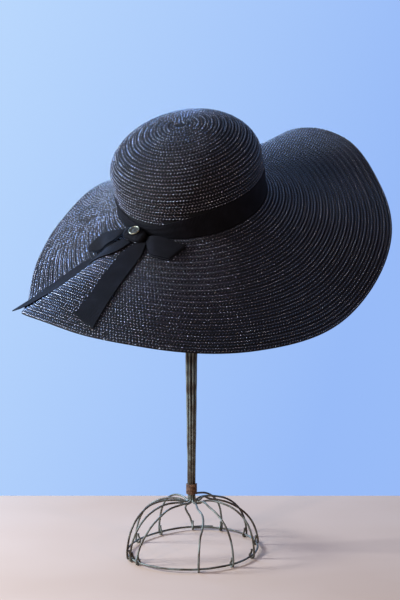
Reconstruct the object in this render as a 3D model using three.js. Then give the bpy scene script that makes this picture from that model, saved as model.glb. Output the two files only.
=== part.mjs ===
// Wide-brim straw hat on a wire hat stand.
// Millimetres, +Z up, with the stand's hooks resting on z = 0. The origin lies under the middle of
// the whole; the stem stands off it, since the brim reaches farther to the right and to the back.
// The hat is modelled upright in its own frame and tipped as one group onto the stand's head.
// Azimuths are in degrees: 0 is to the right, 90 to the back, 180 to the left, 270 to the front.

import * as THREE from 'three';

// Driving dimensions of the hat
const strawThickness = 2.0;
const fitGap = 0.3;
const crownFootRadius = 93.8;
const crownWidestRadius = 95.5;
const crownWidestHeight = 50;
const crownHeight = 106;
// The dome is a little higher on its right than on its left
const crownSlant = 0.05;
const brimRootRadius = 95.2;
const brimReach = 173;
const ribbonThickness = 1.0;
const bandHeight = 34;
// The band is gathered at the bow, so its upper edge dips there
const bandDip = 19.5;
const bandDipSpread = 36;

// The brim's one sharp fold, from the bow to the brim's left tip
const foldAzimuthAtEdge = 208;
const foldDrift = 15;
const foldDriftSpread = 45;

// How far the hat is tipped on the stand
const tipForward = 23.7;
const tipLeft = 8.2;
const hatSideShift = 0.9;

// Where the middle of the whole lies, seen from the stem
const middle = { x: 14.67, y: 24.46 };

// Driving dimensions of the stand
const wireRadius = 1.2;
const wireSides = 6;
const wireClearance = 2.9;
const footHeight = 70;
const headRadius = 88;
const headCentreHeight = 477.7;
const hookReturn = 9;
const bundleRadius = 4.05;
const bundleInnerRadius = 1.45;
const bundleSpreadRadius = 6.4;
const bundleSpreadHeight = 265;
const bundleNeck = 55;
const bundleTopBelowDome = 16;
const stemMiddle = 170;
const neckBelowBinding = 5;
const splayRadius = 40;
const kinkRadius = 16;
const kinkSpread = 4.5;
const bindingLength = 15;
const bindingTurns = 7;
const bindingWire = 1.3;
const bindingFootHeight = 75;

// How far the ribs dip towards the stem before they rise over the dome. The three inner wires
// pass under the others at the foot and over them at the head.
const splayDip = { spread: 9, outer: 12, inner: 20.5, headOuter: 9, headInner: 1 };
const neck = { out: 1.1, rise: 0.6 };

// How steeply the brim falls at each azimuth, in degrees, at the crown and at the edge
const brimFall = [
  { azimuth: 0, atCrown: 32.5, atEdge: 24 },
  { azimuth: 20, atCrown: 26.5, atEdge: 17.5 },
  { azimuth: 40, atCrown: 20, atEdge: 5 },
  { azimuth: 60, atCrown: 19, atEdge: 13 },
  { azimuth: 80, atCrown: 28.5, atEdge: 44.5 },
  { azimuth: 105, atCrown: 28, atEdge: 37 },
  { azimuth: 125, atCrown: 30, atEdge: 26.5 },
  { azimuth: 145, atCrown: 34, atEdge: 32.5 },
  { azimuth: 165, atCrown: 43, atEdge: 32 },
  { azimuth: 184, atCrown: 46, atEdge: 29 },
  { azimuth: 195, atCrown: 44, atEdge: 14 },
  { azimuth: 203, atCrown: 22, atEdge: 7 },
  { azimuth: 213, atCrown: 11, atEdge: 11 },
  { azimuth: 230, atCrown: 13, atEdge: 6 },
  { azimuth: 250, atCrown: 14, atEdge: 9 },
  { azimuth: 285, atCrown: 27, atEdge: 21.5 },
  { azimuth: 325, atCrown: 37, atEdge: 41 },
];

// The ribbon's pieces as strips between two edges. An edge point is given by its azimuth, by how
// far out on the brim it lies (reach, 0 at the crown and 1 at the edge) and by its lift off it.
const tailFrontRows = [
  {
    backAzimuth: 232.5, backReach: 0.115, backLift: 3.4,
    frontAzimuth: 238.4, frontReach: 0.07, frontLift: 3.4,
  },
  {
    backAzimuth: 230.0, backReach: 0.17, backLift: 2.6,
    frontAzimuth: 240.0, frontReach: 0.145, frontLift: 2.6,
  },
  {
    backAzimuth: 229.4, backReach: 0.29, backLift: 1.8,
    frontAzimuth: 240.5, frontReach: 0.23, frontLift: 1.8,
  },
  {
    backAzimuth: 230.9, backReach: 0.48, backLift: 2.4,
    frontAzimuth: 240.0, frontReach: 0.41, frontLift: 1.8,
  },
  {
    backAzimuth: 232.5, backReach: 0.69, backLift: 1.7,
    frontAzimuth: 240.4, frontReach: 0.65, frontLift: 2.2,
  },
  {
    backAzimuth: 233.1, backReach: 0.855, backLift: 1.7,
    frontAzimuth: 241.4, frontReach: 0.93, frontLift: 1.7,
  },
];
const tailLeftRows = [
  {
    backAzimuth: 222.5, backReach: 0.105, backLift: 3.2,
    frontAzimuth: 228.5, frontReach: 0.115, frontLift: 3.2,
  },
  {
    backAzimuth: 215.0, backReach: 0.21, backLift: 2.2,
    frontAzimuth: 224.0, frontReach: 0.25, frontLift: 2.2,
  },
  {
    backAzimuth: 204.0, backReach: 0.33, backLift: 2.1,
    frontAzimuth: 213.0, frontReach: 0.38, frontLift: 2.1,
  },
  {
    backAzimuth: 198.0, backReach: 0.46, backLift: 2.1,
    frontAzimuth: 205.0, frontReach: 0.52, frontLift: 2.1,
  },
  {
    backAzimuth: 194.5, backReach: 0.62, backLift: 2.1,
    frontAzimuth: 200.5, frontReach: 0.68, frontLift: 2.1,
  },
  {
    backAzimuth: 192.8, backReach: 0.82, backLift: 2.1,
    frontAzimuth: 198.0, frontReach: 0.86, frontLift: 2.1,
  },
  {
    backAzimuth: 193.3, backReach: 0.99, backLift: 2.1,
    frontAzimuth: 198.5, frontReach: 1.0, frontLift: 2.1,
  },
  {
    backAzimuth: 195.2, backReach: 1.09, backLift: 2.1,
    frontAzimuth: 196.4, frontReach: 1.09, frontLift: 2.1,
  },
];
const loopRightRows = [
  {
    backAzimuth: 237.3, backReach: 0.03, backLift: 4.6,
    frontAzimuth: 239.2, frontReach: 0.08, frontLift: 4.6,
  },
  {
    backAzimuth: 243.0, backReach: 0.03, backLift: 5.5,
    frontAzimuth: 246.0, frontReach: 0.18, frontLift: 6.0,
  },
  {
    backAzimuth: 253.0, backReach: 0.04, backLift: 6.0,
    frontAzimuth: 251.0, frontReach: 0.20, frontLift: 6.5,
  },
  {
    backAzimuth: 264.0, backReach: 0.07, backLift: 5.0,
    frontAzimuth: 256.5, frontReach: 0.205, frontLift: 5.0,
  },
];
const loopLeftRows = [
  {
    backAzimuth: 218.1, backReach: 0.04, backLift: 8.4,
    frontAzimuth: 218.8, frontReach: 0.09, frontLift: 8.0,
  },
  {
    backAzimuth: 207.0, backReach: 0.10, backLift: 12.5,
    frontAzimuth: 219.0, frontReach: 0.19, frontLift: 12.0,
  },
  {
    backAzimuth: 200.4, backReach: 0.155, backLift: 12.5,
    frontAzimuth: 217.5, frontReach: 0.23, frontLift: 12.5,
  },
  {
    backAzimuth: 196.8, backReach: 0.26, backLift: 11.0,
    frontAzimuth: 212.5, frontReach: 0.28, frontLift: 11.0,
  },
  {
    backAzimuth: 195.0, backReach: 0.33, backLift: 9.0,
    frontAzimuth: 200.0, frontReach: 0.33, frontLift: 9.0,
  },
];
const loopRightLowerLift = 1.8;
const loopLeftLowerLift = 4.4;

// The knot, a flattened pad of wrapped ribbon, and the badge that lies on it
const knot = { azimuth: 228, radius: 105.0, height: 3.9, lean: 14, boxiness: 0.75 };
const knotHalf = { outward: 9.6, across: 17, thickness: 5.6 };
const badge = { rimRadius: 7.0, rimWidth: 2.0, rimHeight: 1.8, chamfer: 0.4, discHeight: 1.0, shift: -1.6 };

// The foot's ring is bent by hand: its radius round the turn
const footRingPlan = [
  { azimuth: 7, radius: 86.5 },
  { azimuth: 45, radius: 85 },
  { azimuth: 70, radius: 82.5 },
  { azimuth: 90, radius: 77.5 },
  { azimuth: 112, radius: 73 },
  { azimuth: 132, radius: 71 },
  { azimuth: 150, radius: 72.5 },
  { azimuth: 168, radius: 77 },
  { azimuth: 186, radius: 83.5 },
  { azimuth: 204, radius: 89.5 },
  { azimuth: 222, radius: 93 },
  { azimuth: 242, radius: 93.5 },
  { azimuth: 262, radius: 92 },
  { azimuth: 290, radius: 89.5 },
  { azimuth: 315, radius: 87.5 },
  { azimuth: 340, radius: 86.5 },
];

// One row for each wire, in order round the stem: the azimuth where its rib meets the foot ring, how
// full the rib's curve is, how far it sways sideways and at which share of its reach, the height of a
// kink, and its place in the bundle.
const wires = [
  { foot: 11, fullness: 2.2, sway: 0, swayAt: 0.5, kink: 4, bundle: 10, inner: false },
  { foot: 34, fullness: 2.4, sway: 0, swayAt: 0.5, kink: 0, bundle: 50, inner: false },
  { foot: 62, fullness: 2.5, sway: 5, swayAt: 0.4, kink: 0, bundle: 90, inner: false },
  { foot: 89, fullness: 2.2, sway: 13, swayAt: 0.5, kink: 0, bundle: 110, inner: true },
  { foot: 126, fullness: 2.6, sway: 0, swayAt: 0.5, kink: 0, bundle: 130, inner: false },
  { foot: 161, fullness: 2.6, sway: 0, swayAt: 0.5, kink: 0, bundle: 170, inner: false },
  { foot: 208, fullness: 3.0, sway: -12, swayAt: 0.5, kink: 0, bundle: 210, inner: false },
  { foot: 214, fullness: 2.5, sway: -4, swayAt: 0.5, kink: 0, bundle: 230, inner: true },
  { foot: 223, fullness: 1.9, sway: 0, swayAt: 0.5, kink: 0, bundle: 250, inner: false },
  { foot: 276, fullness: 2.6, sway: 9, swayAt: 0.65, kink: 0, bundle: 290, inner: false },
  { foot: 306, fullness: 2.7, sway: 0, swayAt: 0.5, kink: 0, bundle: 330, inner: false },
  { foot: 334, fullness: 3.0, sway: 4, swayAt: 0.5, kink: 0, bundle: 350, inner: true },
];

// Finishes
const strawFinish = { color: 0x1d1e27, roughness: 0.55, metalness: 0.0 };
const ribbonFinish = { color: 0x2c2b38, roughness: 0.8, metalness: 0.0 };
const badgeFinish = { color: 0xb9ad84, roughness: 0.3, metalness: 1.0 };
const badgeDiscFinish = { color: 0x4a463c, roughness: 0.5, metalness: 0.6 };
const wireFinish = { color: 0x6f6e63, roughness: 0.6, metalness: 0.7 };
const bindingFinish = { color: 0x7a4a33, roughness: 0.85, metalness: 0.3 };

const degrees = THREE.MathUtils.degToRad;
const upAxis = new THREE.Vector3(0, 0, 1);

function addPiece(parent, name, geometry, finish) {
  const mesh = new THREE.Mesh(geometry, new THREE.MeshStandardMaterial(finish));
  mesh.name = name;
  parent.add(mesh);
  return mesh;
}

// A cubic through a table's rows, round the full turn, with slopes set by the rows' spacing
function readRound(table, azimuth, column) {
  const count = table.length;
  const wrapped = THREE.MathUtils.euclideanModulo(azimuth, 360);
  const first = table.findLastIndex((row) => row.azimuth <= wrapped);
  const rowAt = (index) => {
    const turn = Math.floor(index / count);
    const row = table[index - turn * count];
    return { azimuth: row.azimuth + 360 * turn, value: row[column] };
  };
  const rows = [first - 1, first, first + 1, first + 2].map(rowAt);
  const span = rows[2].azimuth - rows[1].azimuth;
  const slopeFrom = (rows[2].value - rows[0].value) / (rows[2].azimuth - rows[0].azimuth);
  const slopeTo = (rows[3].value - rows[1].value) / (rows[3].azimuth - rows[1].azimuth);
  const t = (wrapped - rows[1].azimuth) / span;
  const rise = rows[2].value - rows[1].value;
  const cube = span * (slopeFrom + slopeTo) - 2 * rise;
  const square = 3 * rise - span * (2 * slopeFrom + slopeTo);
  return ((cube * t + square) * t + span * slopeFrom) * t + rows[1].value;
}

// A point of the brim's upper face, found by walking out from the crown along one azimuth.
// The fold runs a little askew, so towards the crown the table is read at a shifted azimuth.
const walkSteps = 12;
function brimPoint(azimuth, reach) {
  const driftCentre = foldAzimuthAtEdge + foldDrift / 2;
  const nearFold = Math.exp(-(((azimuth - driftCentre) / foldDriftSpread) ** 2));
  const step = (brimReach * reach) / walkSteps;
  let radius = brimRootRadius;
  let height = -fitGap;
  for (let i = 0; i < walkSteps; i += 1) {
    const part = (reach * (i + 0.5)) / walkSteps;
    const readAt = azimuth - foldDrift * (1 - part) * nearFold;
    const atCrown = readRound(brimFall, readAt, 'atCrown');
    const atEdge = readRound(brimFall, readAt, 'atEdge');
    const fall = degrees(THREE.MathUtils.lerp(atCrown, atEdge, part));
    radius += Math.cos(fall) * step;
    height -= Math.sin(fall) * step;
  }
  const angle = degrees(azimuth);
  return new THREE.Vector3(radius * Math.cos(angle), radius * Math.sin(angle), height);
}

// A point held off the brim along the brim's own normal
function aboveBrim(azimuth, reach, lift) {
  const turn = 0.5;
  const out = 0.01;
  const point = brimPoint(azimuth, reach);
  const alongTurn = brimPoint(azimuth + turn, reach).sub(brimPoint(azimuth - turn, reach));
  const alongOut = brimPoint(azimuth, reach + out).sub(brimPoint(azimuth, reach - out));
  return point.addScaledVector(alongOut.cross(alongTurn).normalize(), lift);
}

// The unit normals of a grid of points: across the rows, then along them
function gridNormals(grid, isRound) {
  const last = grid.length - 1;
  const clamped = (i) => THREE.MathUtils.clamp(i, 0, last);
  const rowAt = (i) => grid[isRound ? (i + grid.length) % grid.length : clamped(i)];
  return grid.map((row, i) =>
    row.map((point, j) => {
      const across = row[Math.min(j + 1, row.length - 1)].clone().sub(row[Math.max(j - 1, 0)]);
      const along = rowAt(i + 1)[j].clone().sub(rowAt(i - 1)[j]);
      return across.cross(along).normalize();
    }),
  );
}

function indexedSolid(points, faces) {
  const geometry = new THREE.BufferGeometry().setFromPoints(points);
  geometry.setIndex(faces);
  geometry.computeVertexNormals();
  return geometry;
}

// A closed sheet of even thickness: the grid is moved out along its normals by two offsets.
// A grid that goes all the way round is joined to its own start.
function sheetSolid(grid, lowerOffset, upperOffset, isRound) {
  const normals = gridNormals(grid, isRound);
  const moved = (offset) => grid.flatMap((row, i) =>
    row.map((point, j) => point.clone().addScaledVector(normals[i][j], offset)),
  );
  const rows = grid.length;
  const columns = grid[0].length;
  const top = (i, j) => (i % rows) * columns + j;
  const bottom = (i, j) => rows * columns + top(i, j);
  const faces = [];
  const quad = (a, b, c, d) => faces.push(a, b, c, a, c, d);
  const end = columns - 1;
  const last = rows - 1;
  for (let i = 0; i < (isRound ? rows : last); i += 1) {
    for (let j = 0; j < end; j += 1) {
      quad(top(i, j), top(i, j + 1), top(i + 1, j + 1), top(i + 1, j));
      quad(bottom(i, j), bottom(i + 1, j), bottom(i + 1, j + 1), bottom(i, j + 1));
    }
    quad(top(i, 0), top(i + 1, 0), bottom(i + 1, 0), bottom(i, 0));
    quad(top(i, end), bottom(i, end), bottom(i + 1, end), top(i + 1, end));
  }
  for (let j = 0; j < end && !isRound; j += 1) {
    quad(top(0, j), bottom(0, j), bottom(0, j + 1), top(0, j + 1));
    quad(top(last, j), top(last, j + 1), bottom(last, j + 1), bottom(last, j));
  }
  return indexedSolid([...moved(upperOffset), ...moved(lowerOffset)], faces);
}

// Crown: a straight-sided lower wall that swells a little, under a quarter-ellipse dome
function crownRadiusAt(height) {
  const swell = Math.sin((Math.PI / 2) * Math.min(height / crownWidestHeight, 1));
  return THREE.MathUtils.lerp(crownFootRadius, crownWidestRadius, swell);
}

const roundSegments = 36;
const footHoopStep = 14;
const headHoopStep = 15;
const badgeSegments = 16;
const knotSegments = { round: 16, down: 8 };
const bindingSegments = 10;
function addCrown(hat) {
  const wallSteps = 3;
  const domeSteps = 8;
  const skin = (inset) => {
    const points = [];
    for (let i = 0; i < wallSteps; i += 1) {
      const height = (crownWidestHeight * i) / wallSteps;
      points.push(new THREE.Vector2(crownRadiusAt(height) - inset, height));
    }
    for (let i = 0; i < domeSteps; i += 1) {
      const angle = (Math.PI / 2) * (i / domeSteps);
      const radius = (crownWidestRadius - inset) * Math.cos(angle);
      const rise = (crownHeight - crownWidestHeight - inset) * Math.sin(angle);
      points.push(new THREE.Vector2(radius, crownWidestHeight + rise));
    }
    points.push(new THREE.Vector2(0, crownHeight - inset));
    return points;
  };
  const profile = [...skin(strawThickness).reverse(), ...skin(0)];
  const geometry = new THREE.LatheGeometry(profile, roundSegments).rotateX(Math.PI / 2);
  const position = geometry.getAttribute('position');
  for (let i = 0; i < position.count; i += 1) {
    const intoDome = Math.max(position.getZ(i) - crownWidestHeight, 0) / (crownHeight - crownWidestHeight);
    position.setZ(i, position.getZ(i) + crownSlant * position.getX(i) * intoDome);
  }
  addPiece(hat, 'crown', geometry, strawFinish);
}

// Brim: a flat collar under the crown's foot, then the fall that the table gives.
// The grid's lines lean over with the fold, and they lie closer together beside it.
const brimReaches = [0, 0.08, 0.22, 0.4, 0.6, 0.8, 1.0];
const brimWideStep = 6;
const brimFineStep = 3;
const brimFineSpan = 18;
function addBrim(hat) {
  const azimuths = [];
  for (let azimuth = 0; azimuth < 360; azimuth += brimFineStep) {
    const isNearFold = Math.abs(azimuth - foldAzimuthAtEdge) < brimFineSpan;
    if (isNearFold || azimuth % brimWideStep === 0) {
      azimuths.push(azimuth);
    }
  }
  const collarRadius = crownFootRadius - strawThickness;
  const grid = azimuths.map((edgeAzimuth) => {
    const nearFold = Math.exp(-(((edgeAzimuth - foldAzimuthAtEdge) / foldDriftSpread) ** 2));
    const azimuthAt = (reach) => edgeAzimuth + foldDrift * (1 - reach) * nearFold;
    const row = brimReaches.map((reach) => brimPoint(azimuthAt(reach), reach));
    const collar = row[0].clone().multiply(new THREE.Vector3(1, 1, 0));
    collar.setLength(collarRadius).setZ(row[0].z);
    return [collar, ...row];
  });
  addPiece(hat, 'brim', sheetSolid(grid, -strawThickness, 0, true), strawFinish);
}

// Hat band: a ribbon that follows the crown's foot all round
function addBand(hat) {
  const steps = 3;
  const grid = [];
  for (let i = 0; i < roundSegments; i += 1) {
    const azimuth = (360 * i) / roundSegments;
    const gather = Math.exp(-(((azimuth - knot.azimuth) / bandDipSpread) ** 2));
    const top = bandHeight - bandDip * gather;
    const row = [];
    for (let j = 0; j <= steps; j += 1) {
      const height = THREE.MathUtils.lerp(top, fitGap, j / steps);
      const radius = crownRadiusAt(height) + fitGap;
      row.push(new THREE.Vector3(radius, 0, height).applyAxisAngle(upAxis, degrees(azimuth)));
    }
    grid.push(row);
  }
  addPiece(hat, 'hat_band', sheetSolid(grid, 0, ribbonThickness, true), ribbonFinish);
}

// A smooth curve through the rows of a ribbon's table, read at t from 0 to the last row's number
function readStrip(rows, t) {
  const last = rows.length - 1;
  const first = Math.min(Math.floor(t), last - 1);
  const rowAt = (i) => rows[THREE.MathUtils.clamp(i, 0, last)];
  const curve = (column) => {
    const around = [first - 1, first, first + 1, first + 2];
    const values = around.map((i) => new THREE.Vector3(rowAt(i)[column], 0, 0));
    return new THREE.CatmullRomCurve3(values, false, 'catmullrom').getPoint((1 + t - first) / 3).x;
  };
  return Object.fromEntries(Object.keys(rows[0]).map((column) => [column, curve(column)]));
}

// A strip of ribbon. Draped, it follows the brim across its width; otherwise it spans straight.
const stripColumns = 4;
const stripStepsPerRow = 2;
function addRibbon(hat, name, rows, isDraped) {
  const grid = [];
  for (let i = 0; i <= (rows.length - 1) * stripStepsPerRow; i += 1) {
    const row = readStrip(rows, i / stripStepsPerRow);
    const back = aboveBrim(row.backAzimuth, row.backReach, row.backLift);
    const front = aboveBrim(row.frontAzimuth, row.frontReach, row.frontLift);
    const points = [];
    for (let j = 0; j <= stripColumns; j += 1) {
      const part = j / stripColumns;
      const azimuth = THREE.MathUtils.lerp(row.backAzimuth, row.frontAzimuth, part);
      const reach = THREE.MathUtils.lerp(row.backReach, row.frontReach, part);
      const lift = THREE.MathUtils.lerp(row.backLift, row.frontLift, part);
      points.push(isDraped ? aboveBrim(azimuth, reach, lift) : back.clone().lerp(front, part));
    }
    grid.push(points);
  }
  const half = ribbonThickness / 2;
  addPiece(hat, name, sheetSolid(grid, -half, half, false), ribbonFinish);
}

// A loop goes out as a lower layer, turns at its tip and comes back as the upper layer
function loopRows(rows, lowerLift) {
  const lower = rows.map((row) => ({ ...row, backLift: lowerLift, frontLift: lowerLift }));
  return [...lower, ...rows.toReversed()];
}

// Knot and badge: they share a frame that leans outwards from the band
function addKnot(hat) {
  const turned = new THREE.Group();
  turned.rotation.z = degrees(knot.azimuth);
  const leaning = new THREE.Group();
  leaning.position.set(knot.radius, 0, knot.height);
  leaning.rotation.y = degrees(knot.lean);
  turned.add(leaning);
  hat.add(turned);

  const pad = new THREE.SphereGeometry(1, knotSegments.round, knotSegments.down).rotateX(Math.PI / 2);
  const position = pad.getAttribute('position');
  const boxy = (value) => Math.sign(value) * Math.abs(value) ** knot.boxiness;
  for (let i = 0; i < position.count; i += 1) {
    position.setXYZ(i, boxy(position.getX(i)), boxy(position.getY(i)), boxy(position.getZ(i)));
  }
  pad.scale(knotHalf.outward, knotHalf.across, knotHalf.thickness);
  addPiece(leaning, 'bow_knot', pad, ribbonFinish);

  const seat = new THREE.Group();
  seat.position.set(badge.shift, 0, knotHalf.thickness + fitGap);
  leaning.add(seat);
  const innerRadius = badge.rimRadius - badge.rimWidth;
  const profile = [
    new THREE.Vector2(innerRadius, 0),
    new THREE.Vector2(badge.rimRadius - badge.chamfer, 0),
    new THREE.Vector2(badge.rimRadius, badge.chamfer),
    new THREE.Vector2(badge.rimRadius, badge.rimHeight - badge.chamfer),
    new THREE.Vector2(badge.rimRadius - badge.chamfer, badge.rimHeight),
    new THREE.Vector2(innerRadius + badge.chamfer, badge.rimHeight),
    new THREE.Vector2(innerRadius, badge.rimHeight - badge.chamfer),
    new THREE.Vector2(innerRadius, 0),
  ];
  const ring = new THREE.LatheGeometry(profile, badgeSegments).rotateX(Math.PI / 2);
  addPiece(seat, 'badge_ring', ring, badgeFinish);
  const discRadius = innerRadius - fitGap;
  const disc = new THREE.CylinderGeometry(discRadius, discRadius, badge.discHeight, badgeSegments);
  disc.rotateX(Math.PI / 2).translate(0, 0, badge.discHeight / 2);
  addPiece(seat, 'badge_disc', disc, badgeDiscFinish);
}

// A path whose stations are given one by one: close together in a bend, far apart along the stem
class StationPath extends THREE.Curve {
  constructor(stations) {
    super();
    this.stations = stations;
  }

  getPointAt(t) {
    const along = t * (this.stations.length - 1);
    const first = Math.min(Math.floor(along), this.stations.length - 2);
    return this.stations[first].clone().lerp(this.stations[first + 1], along - first);
  }

  getPoint(t) {
    return this.getPointAt(t);
  }

  getTangentAt(t) {
    const last = this.stations.length - 1;
    const nearest = Math.round(t * last);
    const next = this.stations[Math.min(nearest + 1, last)].clone();
    const into = this.stations[nearest].clone().sub(this.stations[Math.max(nearest - 1, 0)]).normalize();
    const out = next.sub(this.stations[nearest]).normalize();
    return into.add(out).normalize();
  }
}

const wireCorners = Array.from({ length: wireSides }, (_, i) => {
  const angle = (2 * Math.PI * i) / wireSides;
  return new THREE.Vector2(wireRadius * Math.cos(angle), wireRadius * Math.sin(angle));
});

// The heights at which the head's and the foot's rings lie, each held inside its hooks
const wireHalfFlat = wireRadius * Math.cos(Math.PI / wireSides);
const hookBendFlattens = Math.cos(Math.PI / 8);
const footRingHeight = wireHalfFlat * hookBendFlattens + wireClearance;
const headRingRadius = headRadius - wireClearance;
const bundleTopHeight = headCentreHeight + headRadius - bundleTopBelowDome;
const footRibShares = [0.98, 0.9, 0.765, 0.585, 0.405, 0.27, 0.18, 0.112];
const headRibRadii = [10, 22, 42, 62, 77, 86];
const stemHeights = [
  bindingFootHeight - neckBelowBinding,
  bindingFootHeight + bindingLength,
  stemMiddle,
  bundleSpreadHeight,
  bundleTopHeight - bindingLength - bundleNeck,
  bundleTopHeight - bindingLength,
  bundleTopHeight,
];

// How wide the bundle of wires stands round the stem's axis at a height
function bundleRadiusAt(height, isInner) {
  if (isInner) {
    return bundleInnerRadius;
  }
  const lower = THREE.MathUtils.smoothstep(height, bindingFootHeight + bindingLength, bundleSpreadHeight);
  const bindingFoot = bundleTopHeight - bindingLength;
  const upper = THREE.MathUtils.smoothstep(height, bindingFoot - bundleNeck, bindingFoot);
  return THREE.MathUtils.lerp(bundleRadius, bundleSpreadRadius, lower - upper);
}

// Hook round a ring, from its free end to where the rib takes over, as radius and height
function hookProfile(ringRadius, ringHeight) {
  const inside = ringRadius - wireClearance;
  const outside = ringRadius + wireClearance;
  const under = ringHeight - wireClearance;
  const corner = wireClearance / 2;
  return [
    [inside, ringHeight + hookReturn],
    [inside, ringHeight - corner],
    [inside + corner, under],
    [outside - corner, under],
    [outside, ringHeight - corner],
  ];
}

// One wire, hook to hook, in a frame turned so that its foot rib lies in the XZ plane
function wireStations(wire, headAzimuth) {
  const stations = [];
  const turned = (radius, azimuth, height, side = 0) => {
    const angle = degrees(azimuth - wire.foot);
    const x = radius * Math.cos(angle) - side * Math.sin(angle);
    const y = radius * Math.sin(angle) + side * Math.cos(angle);
    stations.push(new THREE.Vector3(x, y, height));
  };
  const footRingRadius = readRound(footRingPlan, wire.foot, 'radius');
  for (const [radius, height] of hookProfile(footRingRadius, footRingHeight)) {
    turned(radius, wire.foot, height);
  }
  const dip = wire.inner ? splayDip.inner : splayDip.outer;
  const swayPower = Math.log(0.5) / Math.log(wire.swayAt);
  let ribHeight = 0;
  for (const share of footRibShares) {
    const radius = share * (footRingRadius + wireClearance);
    const dome = footHeight * (1 - share ** wire.fullness) ** (1 / wire.fullness);
    const kink = wire.kink * Math.exp(-(((radius - kinkRadius) / kinkSpread) ** 2));
    const atRib = THREE.MathUtils.smoothstep(radius, bundleRadius, splayRadius);
    const azimuth = THREE.MathUtils.lerp(wire.bundle, wire.foot, atRib);
    ribHeight = dome - dip * Math.exp(-radius / splayDip.spread) + kink;
    const sway = wire.sway * Math.sin(Math.PI * share ** swayPower) ** 2;
    turned(radius, azimuth, ribHeight, sway);
  }
  turned(bundleRadiusAt(bindingFootHeight, wire.inner) + neck.out, wire.bundle, ribHeight + neck.rise);
  for (const height of stemHeights) {
    turned(bundleRadiusAt(height, wire.inner), wire.bundle, height);
  }
  const headDip = wire.inner ? splayDip.headInner : splayDip.headOuter;
  for (const radius of headRibRadii) {
    const dome = headCentreHeight + Math.sqrt(headRadius ** 2 - radius ** 2);
    const atRib = THREE.MathUtils.smoothstep(radius, bundleRadius, splayRadius);
    const azimuth = THREE.MathUtils.lerp(wire.bundle, headAzimuth, atRib);
    turned(radius, azimuth, dome - headDip * Math.exp(-radius / splayDip.spread));
  }
  for (const [radius, height] of hookProfile(headRingRadius, headCentreHeight).reverse()) {
    turned(radius, headAzimuth, height);
  }
  return stations;
}

// The head's ribs stand at even steps, in the same order as the wires
const headAzimuths = wires.map((_, index) => wires[0].bundle + (360 / wires.length) * index);
const footAzimuths = wires.map((wire) => wire.foot);

function addWires(stand) {
  wires.forEach((wire, index) => {
    const path = new StationPath(wireStations(wire, headAzimuths[index]));
    const steps = path.stations.length - 1;
    const options = { steps, extrudePath: path, bevelEnabled: false };
    const geometry = new THREE.ExtrudeGeometry(new THREE.Shape(wireCorners), options);
    const name = `stand_wire_${String(index + 1).padStart(2, '0')}`;
    addPiece(stand, name, geometry, wireFinish).rotation.z = degrees(wire.foot);
  });
}

// A closed hoop of the same wire, with a corner at each hook and even steps between the hooks
function addHoop(stand, name, hooks, widestStep, radiusAt, height) {
  const azimuths = hooks.flatMap((azimuth, i) => {
    const span = (hooks[(i + 1) % hooks.length] - azimuth + 360) % 360;
    const steps = Math.ceil(span / widestStep);
    return Array.from({ length: steps }, (_, k) => azimuth + (span * k) / steps);
  });
  const points = azimuths.flatMap((azimuth) =>
    wireCorners.map((corner) => {
      const point = new THREE.Vector3(radiusAt(azimuth) + corner.x, 0, height + corner.y);
      return point.applyAxisAngle(upAxis, degrees(azimuth));
    }),
  );
  const at = (i, k) => (i % azimuths.length) * wireSides + (k % wireSides);
  const faces = [];
  for (let i = 0; i < azimuths.length; i += 1) {
    for (let k = 0; k < wireSides; k += 1) {
      faces.push(at(i, k), at(i + 1, k), at(i + 1, k + 1));
      faces.push(at(i, k), at(i + 1, k + 1), at(i, k + 1));
    }
  }
  addPiece(stand, name, indexedSolid(points, faces), wireFinish);
}

// A binding: turns of thin wire side by side round the bundle, with a ridge for each turn
function addBinding(stand, name, foot, wrapRadius) {
  const pitch = bindingLength / bindingTurns;
  const profile = [new THREE.Vector2(wrapRadius, bindingLength), new THREE.Vector2(wrapRadius, 0)];
  for (let turn = 0; turn < bindingTurns; turn += 1) {
    profile.push(new THREE.Vector2(wrapRadius + bindingWire / 2, turn * pitch));
    profile.push(new THREE.Vector2(wrapRadius + bindingWire, (turn + 0.5) * pitch));
  }
  profile.push(new THREE.Vector2(wrapRadius + bindingWire / 2, bindingLength));
  profile.push(profile[0].clone());
  const binding = new THREE.LatheGeometry(profile, bindingSegments).rotateX(Math.PI / 2);
  addPiece(stand, name, binding.translate(0, 0, foot), bindingFinish);
}

function buildStand() {
  const stand = new THREE.Group();
  const footRadiusAt = (azimuth) => readRound(footRingPlan, azimuth, 'radius');
  const headRadiusAt = () => headRingRadius;
  addHoop(stand, 'stand_base_ring', footAzimuths, footHoopStep, footRadiusAt, footRingHeight);
  addHoop(stand, 'stand_head_ring', headAzimuths, headHoopStep, headRadiusAt, headCentreHeight);
  const wrapRadius = bundleRadius + wireRadius + 2 * fitGap;
  addBinding(stand, 'stand_binding_lower', bindingFootHeight, wrapRadius);
  addBinding(stand, 'stand_binding_upper', bundleTopHeight - bindingLength, wrapRadius);
  addWires(stand);
  return stand;
}

// The hat hangs from the head by the inside of its crown: its axis passes through the head's
// centre, and the crown's inner top lies just off the wires
function buildHat() {
  const hat = new THREE.Group();
  hat.rotation.set(degrees(tipForward), degrees(-tipLeft), 0);
  const axis = upAxis.clone().applyEuler(hat.rotation);
  const headBelowTop = headRadius + wireRadius + fitGap;
  const centreAboveRoot = crownHeight - strawThickness - headBelowTop;
  hat.position.copy(axis).multiplyScalar(-centreAboveRoot).setX(hatSideShift);
  hat.position.z += headCentreHeight;
  addCrown(hat);
  addBrim(hat);
  addBand(hat);
  addRibbon(hat, 'ribbon_tail_front', tailFrontRows, true);
  addRibbon(hat, 'ribbon_tail_left', tailLeftRows, true);
  addRibbon(hat, 'bow_loop_right', loopRows(loopRightRows, loopRightLowerLift), false);
  addRibbon(hat, 'bow_loop_left', loopRows(loopLeftRows, loopLeftLowerLift), false);
  addKnot(hat);
  return hat;
}

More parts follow.
